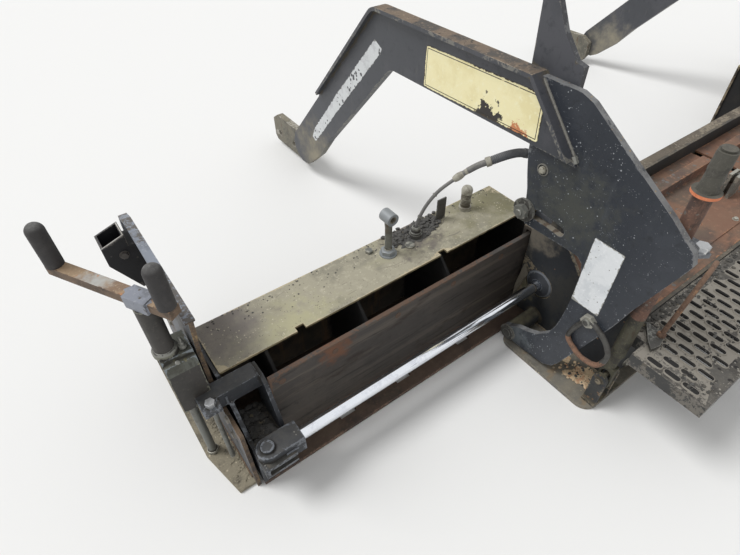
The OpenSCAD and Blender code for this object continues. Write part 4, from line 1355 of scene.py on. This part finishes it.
mainFacts = {
    "sealRing": [
        ((1037, 0, 195), outward, 32, 0, True,
         [(20.6, 0), (56, 0), (56, 14), (50, 20), (34, 24), (22, 27), (20.6, 25)])],
    "rustStrip": ([(72, 244), (50, 208), (87, 71), (87, 139)], 1056.2, 1066, 1),
    "guideBlock": ([(-40, 552), (26, 552), (26, 606), (-40, 606)], 1158, 1177, 0),
    "seams": [
        ((1057, -330, 16), (1057, -20, 16), 4.5, 2),
        ((1057, -345, 300), (1057, -345, 40), 4.0, 2),
        ((1046, -345, 322), (1046, -110, 322), 4.0, 2)],
    "boxScrews": [
        ((964, y, z), inward, 12, 3, False, [(5, -0.5), (5, 3), (3.5, 4.2)])
        for y in (-12, 40) for z in (522, 588)],
    # bolts of the rear wall: their places along it, height, width, height of the head, turn
    "wallBolts": [((60, 210, 420, 600, 790, 980), 60, 22, 12, 0.3), ((130, 520, 700), 292, 18, 10, 0.1)],
    "wallRear": -362,
    "hatches": (0.78 * 1050, 0.45 * 1050),
    "hatchBolts": {"aside": (-132, 132), "y": (-282, -138), "z": 335, "width": 15, "height": 8},
}


def makeMainDetails():
    facts = mainFacts
    bm = bmesh.new()
    turnedParts(bm, facts["sealRing"])
    slab(bm, *facts["rustStrip"])
    slab(bm, *facts["guideBlock"])
    weldSeams(bm, facts["seams"])
    turnedParts(bm, facts["boxScrews"])
    for places, z, width, height, turn in facts["wallBolts"]:
        for out in places:
            boltHead(bm, onLeft(out, facts["wallRear"], z), rear, width, height, 3, turn=turn + out)
    bolts = facts["hatchBolts"]
    for middle in facts["hatches"]:
        for aside in bolts["aside"]:
            for y in bolts["y"]:
                base = onLeft(middle + aside, y, bolts["z"])
                boltHead(bm, base, up, bolts["width"], bolts["height"], 3, turn=aside)
    placePair("main_details", bm, ["endBlack", "slotRust", "hornPaint", "bareSteel"], "main", "black_paint")


plateCrumbFacts = {
    # corners, floor, height, seed, finish
    "mounds": [
        ([(1163, -244), (1075, -262), (1068, -340), (1150, -352)], 15, 7, 3, 1),
        ([(1120, -200), (1080, -205), (1078, -230), (1112, -236)], 15, 3, 5, 1)],
    "count": 110, "firstSeed": 0, "size": (4, 13), "second": 0.6,
    "y": (-300, 45), "out": (1118, 28), "insideOut": (1066, 1172), "insideY": (-392, -30),
    "z": 16, "lift": (0, 3),
}


def onPlate(dice, facts):
    y = dice.gauss(*facts["y"])
    out = dice.gauss(*facts["out"])
    if between(out, facts["insideOut"]) and between(y, facts["insideY"]):
        return out, y, facts["z"] + dice.uniform(*facts["lift"])


def makePlateCrumbs():
    bm = bmesh.new()
    for heap in plateCrumbFacts["mounds"]:
        mound(bm, *heap)
    strew(bm, random.Random(11), plateCrumbFacts, onPlate)
    placePair("plate_crumbs", bm, ["crumbDark", "crumbCream"], "main", "plate_steel")


stepDirtFacts = {
    "strewn": {
        "count": 900, "firstSeed": 0, "size": (3, 11), "second": 0.25, "out": (20, 1164), "y": (-628, -380),
        "z": 322.6, "patch": 0.012, "bare": 0.08, "latchOut": 1096, "latchY": -434},
    "alongWall": {
        "count": 160, "firstSeed": 900, "size": (5, 15), "out": (20, 1095), "y": -370, "spread": 12, "z": 323,
        "rearmost": -1000},
}


def onStep(dice, facts):
    # dirt lies in patches, and none under the latch
    out = dice.uniform(*facts["out"])
    y = dice.uniform(*facts["y"])
    bare = noise.noise(Vector((out, y, 0)) * facts["patch"]) < facts["bare"]
    latch = out > facts["latchOut"] and y > facts["latchY"]
    return None if bare or latch else (out, y, facts["z"])


def makeStepDirt():
    bm = bmesh.new()
    dice = random.Random(47)
    strew(bm, dice, stepDirtFacts["strewn"], onStep)
    strew(bm, dice, stepDirtFacts["alongWall"], fromLine)
    placePair("step_dirt", bm, ["boxDirt", "crumbDark"], "main", "walkway_steel")


makeLatch()
makeMainDetails()
makePlateCrumbs()
makeStepDirt()
print("main screed details")


# Extensions: mix left on the deck and in the end box, fittings, seams

deckCrumbFacts = {
    "mound": (
        [(1464, 290), (1430, 352), (1352, 376), (1290, 366), (1266, 322), (1310, 296), (1380, 282)],
        375, 4, 7),
    "heap": {
        "count": 330, "firstSeed": 0, "size": (5, 17), "second": 0.12,
        "start": (1268, 312), "reach": (205, 56), "spread": 9,
        "insideOut": (1200, 1500), "insideY": (258, 379), "z": 376, "lift": (0, 9),
        "thinY": 318, "thin": 0.3},
    "front": {
        "count": 110, "firstSeed": 400, "size": (2.5, 6), "out": (970, 2160), "y": 379, "spread": 40,
        "z": 375.5, "rearmost": 200},
}
boxCrumbFacts = {
    "mound": ([(2169, 64), (2169, 128), (2150, 178), (2110, 180), (2098, 112), (2112, 66)], 165, 13, 9),
    "inBox": {
        "count": 110, "firstSeed": 0, "size": (9, 26), "second": 0.7, "out": (2106, 2168), "y": (60, 178),
        "z": 174, "lift": (-2, 7)},
    "onLedge": {
        "count": 60, "firstSeed": 300, "size": (3, 9), "out": (2100, 2170), "y": (-40, 46), "z": 201,
        "rodOut": 2156, "rodReach": 36, "clevisOut": 2158},
}


def onDeck(dice, facts):
    # the heap round the gland gets thin towards the rear
    out, y = (start + reach * dice.random() + dice.gauss(0, facts["spread"])
              for start, reach in zip(facts["start"], facts["reach"]))
    if between(y, facts["insideY"]) and between(out, facts["insideOut"]):
        share = 1 if y > facts["thinY"] else facts["thin"]
        return out, y, facts["z"] + dice.uniform(*facts["lift"]) * share


def inBox(dice, facts):
    return dice.uniform(*facts["out"]), dice.uniform(*facts["y"]), facts["z"] + dice.uniform(*facts["lift"])


def onLedge(dice, facts):
    # beside the clevis and the rod's end
    out, y = dice.uniform(*facts["out"]), dice.uniform(*facts["y"])
    atRod = math.hypot(out - facts["rodOut"], y) <= facts["rodReach"]
    atClevis = out < facts["clevisOut"] and abs(y) < facts["rodReach"]
    return None if atRod or atClevis else (out, y, facts["z"])


def makeExtensionCrumbs():
    dice = random.Random(23)
    bm = bmesh.new()
    mound(bm, *deckCrumbFacts["mound"])
    strew(bm, dice, deckCrumbFacts["heap"], onDeck)
    strew(bm, dice, deckCrumbFacts["front"], fromLine)
    placePair("deck_crumbs", bm, ["crumbDark", "boxDirt"], "ext", "weathered_deck")
    bm = bmesh.new()
    mound(bm, *boxCrumbFacts["mound"])
    strew(bm, dice, boxCrumbFacts["inBox"], inBox)
    strew(bm, dice, boxCrumbFacts["onLedge"], onLedge)
    placePair("box_crumbs", bm, ["boxDirt", "crumbDark"], "ext", "black_paint")


def ribbed(start, end, first, count, pitch):
    # profile of a plug with ribs between its two smooth ends
    made = list(start)
    for step in range(count):
        base = first + step * pitch
        made += [(19, base), (19, base + 4.4), (17, base + 5.4), (17, base + 6.4)]
    return made + end


fittingFacts = {
    "plugs": [
        # ribbed plug on the grade sensor's socket, and the cable's gland on the deck
        ((1138, 331, 375), up, 22, 0, False,
         ribbed([(23, -0.5), (23, 14), (17, 16), (17, 24)],
                [(20, 70), (21, 84), (18, 92), (13, 97), (5, 100)], 26, 6, 7)),
        ((1387, 316, 375), up, 16, 1, True,
         [(9.5, 8), (18, 8), (19, 18), (19, 24), (15, 28), (15, 40), (11, 46), (9.5, 46)])],
    "eyeNut": {"base": (1517, 302, 375), "width": 44, "height": 22, "washer": 1.18, "turn": 0.3},
    "eyeBolt": [
        # shank, head, lining of its bore
        ((1517, 302, 395), up, 22, 0, False,
         [(13.5, -1), (13.5, 6), (12, 8), (12, 92), (13, 100), (14, 116)]),
        ((1517, 326, 529), rear, 28, 1, True,
         [(12.5, 1), (20.5, 0), (22, 1.5), (22, 46.5), (20.5, 48), (12.5, 47), (12.5, 24)]),
        ((1517, 324, 529), rear, 24, 2, True, [(9.5, 0), (12.4, 0), (12.4, 44), (9.5, 44)])],
    "seams": [
        # end box and cross bar
        ((2177, 128, 314), (2177, 178, 314), 3.5, 0),
        ((2192, 127, 318), (2192, 127, 352), 3.5, 0),
        ((2176, 66, 168), (2176, 178, 168), 4.5, 0),
        ((2120, 34, 201), (2070, 34, 201), 4.0, 0),
        ((2120, -34, 201), (2082, -34, 201), 4.0, 0),
        ((2180, 26, 16), (2180, 180, 16), 3.5, 0)],
    "post": [
        # seat ring of the post, grease fitting, plug beside it
        ((2273, 212, 537), up, 28, 1, True, [(25.2, -0.5), (31, -0.5), (30, 3), (27, 6), (25.2, 7)]),
        ((2234, 198, 530), up, 12, 1, False,
         [(11, -2), (11, 8), (7, 10), (7, 18), (4, 20), (4, 31), (2, 33)]),
        ((2262, 172, 512), (0, -0.55, 1), 12, 1, False, [(6, -3), (6, 2.6), (3.5, 4)])],
    "plateBolts": [
        ((out, 90, 338), rear, 16, 2, False, [(11, -0.5), (11, 0.6), (8, 1.0), (7, 0.3)])
        for out in (2044, 1870, 1640, 1410, 1190)],
}


def makeFittings():
    facts, nut = fittingFacts, fittingFacts["eyeNut"]
    bm = bmesh.new()
    turnedParts(bm, facts["plugs"])
    placePair("deck_plugs", bm, ["sensorPale", "darkSteel"], "ext", "bare_steel")
    bm = bmesh.new()
    boltHead(bm, onLeft(*nut["base"]), up, nut["width"], nut["height"], 1, nut["washer"], nut["turn"])
    turnedParts(bm, facts["eyeBolt"])
    placePair("eye_bolt", bm, ["bareSteel", "headSteel", "slotRust"], "ext", "bare_steel")
    bm = bmesh.new()
    weldSeams(bm, facts["seams"])
    turnedParts(bm, facts["post"] + facts["plateBolts"])
    placePair("end_details", bm, ["endBlack", "darkSteel", "slideSteel"], "ext", "black_paint")


# reach of each grip from the hub, and the turn of its arm of the crank in degrees
crankFacts = {"grips": ((250, 120), (77, 300)), "z": 722.5, "collar": [(14, -0.5), (14, 4), (12, 5)]}


def makeCrankDetails():
    # collars under the grips
    bm = bmesh.new()
    for reach, degrees in crankFacts["grips"]:
        turn = math.radians(degrees)
        out = faceFacts["hub"][0] - reach * math.cos(turn)
        y = faceFacts["hub"][1] + reach * math.sin(turn)
        turned(bm, onLeft(out, y, crankFacts["z"]), up, crankFacts["collar"], 16)
    placePair("crank_details", bm, ["darkSteel"], "ext", "crank_steel")


makeExtensionCrumbs()
makeFittings()
makeCrankDetails()
print("extension details")


# End gates: pocket bolt, worn line on two edges of the pocket's mouth, seams of band and ski, mix on the ski

gateFacts = {
    "pocketBolt": {"base": (2252, 500, 622), "width": 17, "height": 10, "turn": 0.2},
    "wornLine": [(2296, 504, 660.5), (2236, 504, 679.5), (2236, 568, 679.5)],
    "wornRadius": 1.7,
    "seams": [((2212, 60, 14), (2212, 470, 14), 4.0, 0), ((2212.5, 520, 494), (2212.5, 552, 494), 3.5, 0)],
    "bolts": {"out": 2211, "at": ((96, 220), (96, 300), (520, 180), (520, 300)), "width": 20, "height": 8},
    "crumbs": {
        "count": 120, "firstSeed": 0, "size": (4, 11), "out": 2214, "spread": 22, "y": (60, 480), "z": 12.5},
}


def onSki(dice, facts):
    y = dice.uniform(*facts["y"])
    return facts["out"] + abs(dice.gauss(0, facts["spread"])), y, facts["z"]


def makeGateDetails():
    facts = gateFacts
    bolt, bolts = facts["pocketBolt"], facts["bolts"]
    bm = bmesh.new()
    boltHead(bm, onLeft(*bolt["base"]), rear, bolt["width"], bolt["height"], 2, turn=bolt["turn"])
    tubeAlong(bm, [onLeft(*point) for point in facts["wornLine"]], facts["wornRadius"], 8, 3)
    weldSeams(bm, facts["seams"])
    for y, z in bolts["at"]:
        boltHead(bm, onLeft(bolts["out"], y, z), outward, bolts["width"], bolts["height"], 1, turn=y)
    finish = ["gateEdge", "gateSteel", "pocketBlack", "brightEdge"]
    placePair("gate_details", bm, finish, "gate", "gate_steel")
    bm = bmesh.new()
    strew(bm, random.Random(31), facts["crumbs"], onSki)
    placePair("gate_crumbs", bm, ["skiDirt"], "gate", "gate_steel")


makeGateDetails()
print("end gate details")


# Tow arms: shackle with its lug and pin, plug, seams, bolt ends

shackleFacts = {
    "out": 1210,
    "ring": [(-271, 356), (-245, 290), (-240, 246), (-270, 220), (-304, 207), (-352, 219), (-370, 262),
             (-368, 298), (-340, 335), (-297, 360)],
    "radius": 8.4,
    "rustTop": 0.252,
    "lug": ([(-262, 340), (-255, 352), (-262, 372), (-284, 376), (-300, 364), (-298, 346), (-282, 334)],
            1199.8, 1216, 2),
    "pin": [((1214, -277, 355), outward, 16, 0, False, [(13, 0), (13, 6), (11, 8), (6, 9)])],
}


def makeShackle():
    facts = shackleFacts
    bm = bmesh.new()
    line = smoothLine([onLeft(facts["out"], y, z) for y, z in facts["ring"] + facts["ring"][:1]], 5)[:-1]
    radii = [facts["radius"] + noise.noise(p * 60) for p in line]
    tubeAlong(bm, line, radii, 14, 0, closed=True)
    for face in bm.faces:
        middle = face.calc_center_median()
        if middle.z < facts["rustTop"] + 0.02 * noise.noise(middle * 70):
            face.material_index = 1
    slab(bm, *facts["lug"])
    turnedParts(bm, facts["pin"])
    placePair("arm_shackle", bm, ["darkSteel", "freshRust", "bareSteel"], "arm", "arm_paint")


armFacts = {
    "plug": [
        ((1182, 10.5, 729.5), outward, 20, 0, False, [(11, 0), (11, 22), (9, 26), (5, 28)]),
        ((1199, 10.5, 730), outward, 24, 1, True, [(15.5, 0), (18.5, 0), (18.5, 3), (15.5, 3.4)])],
    "seams": [((1201, -76, 806), (1201, 75, 968), 4.6, 1), ((1202, -82, 796), (1202, -70, 812), 10.0, 2)],
    "boltEnds": [
        # guide bolt, pivot pin, washer of the pivot pin
        ((1226, 36, 578), outward, 16, 2, False, [(11, -0.5), (11, 4), (9, 6)]),
        ((1208, -22, 50), outward, 22, 2, False, [(17, -0.5), (17, 1.2), (14, 2), (5, 0.8)]),
        ((1206, -22, 50), outward, 26, 1, True, [(29.2, -5.5), (33, -5.5), (33, -3.5), (29.2, -2.5)])],
    "jackBolt": {"base": (1148, -385, 640), "width": 20, "height": 9},
    "couplerRings": [
        ((1156, y, 115), outward, 24, 2, True, [(19, -1), (26, -1), (26, 2.5), (19, 2.5)])
        for y in (1745, 1593)],
}


def makeArmDetails():
    facts, bolt = armFacts, armFacts["jackBolt"]
    bm = bmesh.new()
    turnedParts(bm, facts["plug"])
    weldSeams(bm, facts["seams"])
    turnedParts(bm, facts["boltEnds"])
    boltHead(bm, onLeft(*bolt["base"]), rear, bolt["width"], bolt["height"], 2)
    turnedParts(bm, facts["couplerRings"])
    placePair("arm_details", bm, ["sensorPale", "beamPaint", "darkSteel"], "arm", "arm_paint")


makeShackle()
makeArmDetails()


# Blank plates and labels on the tow arms: outline as y and z in mm, and how far in a dark line's edges lie

plateFacts = {
    "name_plate": {
        "outline": [(515, 926), (50, 934), (43, 803), (518, 796)],
        "out": 1212, "round": 9, "thick": 1.4, "line": (6, 8.5), "ragged": 0.8, "step": 14, "seed": 3,
        "finish": ["creamPlate", "darkLine"]},
    "arm_label": {
        "outline": [(-201, 625), (-294, 623), (-293, 386), (-200, 384)],
        "out": 1200, "round": 4, "thick": 0.6, "line": (), "ragged": 0.5, "step": 14, "seed": 5,
        "finish": "whiteLabel"},
    "leg_strip": {
        "outline": [(791, 866), (748, 847), (756, 827), (1000, 561), (1280, 249), (1314, 262), (1280, 319),
                    (1040, 594)],
        "out": 1212, "round": 3, "thick": 0.5, "line": (), "ragged": 5.0, "step": 6, "seed": 9,
        "finish": "wornStrip"},
}


def roundedOutline(points, radius, steps=4):
    made = []
    count = len(points)
    for i in range(count):
        corner = Vector(points[i])
        before, after = Vector(points[i - 1]) - corner, Vector(points[(i + 1) % count]) - corner
        a, c = corner + before.normalized() * radius, corner + after.normalized() * radius
        for step in range(steps + 1):
            t = step / steps
            made.append(a * (1 - t) ** 2 + corner * 2 * t * (1 - t) + c * t * t)
    return made


def insetOutline(points, distance):
    made = []
    count = len(points)
    for i in range(count):
        a, b, c = points[i - 1], points[i], points[(i + 1) % count]
        first, second = (b - a).normalized(), (c - b).normalized()
        middle = (first + second).normalized()
        across = Vector((-middle.y, middle.x))
        made.append(b + across * distance / max(0.5, first.dot(middle)))
    return made


def area(points):
    return sum(a.x * b.y - b.x * a.y for a, b in zip(points, points[1:] + points[:1])) / 2


def facePlate(part, sideName):
    facts, side, name = plateFacts[part], sides[sideName], sideName + "_" + part
    seed, out, top = facts["seed"], facts["out"], facts["out"] + facts["thick"]
    outline = denser(roundedOutline(facts["outline"], facts["round"]), facts["step"])
    if area(outline) < 0:
        outline.reverse()
    shaken = []
    for p in outline:
        push = noise.noise(Vector((*p, seed)) * 0.11) + 0.6 * noise.noise(Vector((*p, seed)) * 0.31)
        other = noise.noise(Vector((*p, seed + 7)) * 0.12)
        shaken.append(p + Vector((push, other)) * facts["ragged"])
    rings = [shaken] + [insetOutline(outline, distance) for distance in facts["line"]]
    bm = bmesh.new()
    loops = [[bm.verts.new(spot(side, out + 0.1, *p)) for p in shaken]]
    for ring in rings:
        loops.append([bm.verts.new(spot(side, top, *p)) for p in ring])
    count = len(outline)
    for index, (lower, upper) in enumerate(zip(loops, loops[1:])):
        for i in range(count):
            after = (i + 1) % count
            face = bm.faces.new((lower[i], lower[after], upper[after], upper[i]))
            face.material_index = 1 if index == 2 else 0
    bm.faces.new(loops[-1])
    bm.faces.new(loops[0][::-1])
    bmesh.ops.recalc_face_normals(bm, faces=bm.faces[:])
    edgeLine = [spot(side, top, *p) for p in denser(shaken, 3)]
    gridCut(bm, 0.02)
    for vert in bm.verts:
        if abs(vert.co.x) > abs(spot(side, out + 0.3, 0, 0).x):
            vert.co.x += side * 0.0004 * noise.noise(vert.co * 14 + Vector((seed, 0, 0)))
    place(name, storeMesh(bm, name, edgeLine, []), facts["finish"], "arm_" + sideName, "gray_paint")


for sideName in sides:
    for part in plateFacts:
        facePlate(part, sideName)
print("tow arm details")


# Studio

studioFacts = {
    "floorSize": 40.0, "floorDrop": 0.0005,
    "paper": (0.80, 0.80, 0.79, 1), "paperRough": 0.9, "paperShine": 0.1,
    "skyStrength": 0.66, "sunStrength": 1.9, "sunAngle": 24, "sunFrom": (-0.45, 0.35, 0.85),
}


def makeSky(world):
    world.use_nodes = True
    wires = Wiring(world.node_tree)
    rays = wires.add("ShaderNodeLightPath").outputs
    shown = wires.math("MAXIMUM", rays["Is Camera Ray"], rays["Is Glossy Ray"])
    shown = wires.math("MAXIMUM", shown, rays["Is Transmission Ray"])
    sky = wires.add("ShaderNodeBackground")
    sky.inputs["Color"].default_value = (1.0, 1.0, 1.0, 1)
    wires.join(wires.blend(shown, studioFacts["skyStrength"], 1.0, colour=False), sky.inputs["Strength"])
    wires.join(sky.outputs[0], wires.add("ShaderNodeOutputWorld").inputs["Surface"])


def makeStudio():
    facts = studioFacts
    scene = bpy.context.scene
    scene.view_settings.view_transform = "Standard"
    scene.world = bpy.data.worlds.new("studioSky")
    makeSky(scene.world)
    sun = bpy.data.lights.new("softKey", "SUN")
    sun.energy = facts["sunStrength"]
    sun.angle = math.radians(facts["sunAngle"])
    lamp = bpy.data.objects.new("softKey", sun)
    lamp.rotation_euler = Vector(facts["sunFrom"]).to_track_quat("Z", "Y").to_euler()
    scene.collection.objects.link(lamp)
    half = facts["floorSize"] / 2
    corners = [(-half, -half, 0), (half, -half, 0), (half, half, 0), (-half, half, 0)]
    floorMesh = bpy.data.meshes.new("studioFloor")
    floorMesh.from_pydata(corners, [], [(0, 1, 2, 3)])
    floor = bpy.data.objects.new("studioFloor", floorMesh)
    floor.location.z = -facts["floorDrop"]
    scene.collection.objects.link(floor)
    paper = bpy.data.materials.new("studioPaper")
    paper.use_nodes = True
    shader = paper.node_tree.nodes["Principled BSDF"]
    shader.inputs["Base Color"].default_value = facts["paper"]
    shader.inputs["Roughness"].default_value = facts["paperRough"]
    shader.inputs["Specular IOR Level"].default_value = facts["paperShine"]
    floorMesh.materials.append(paper)


makeStudio()
print("studio ready")
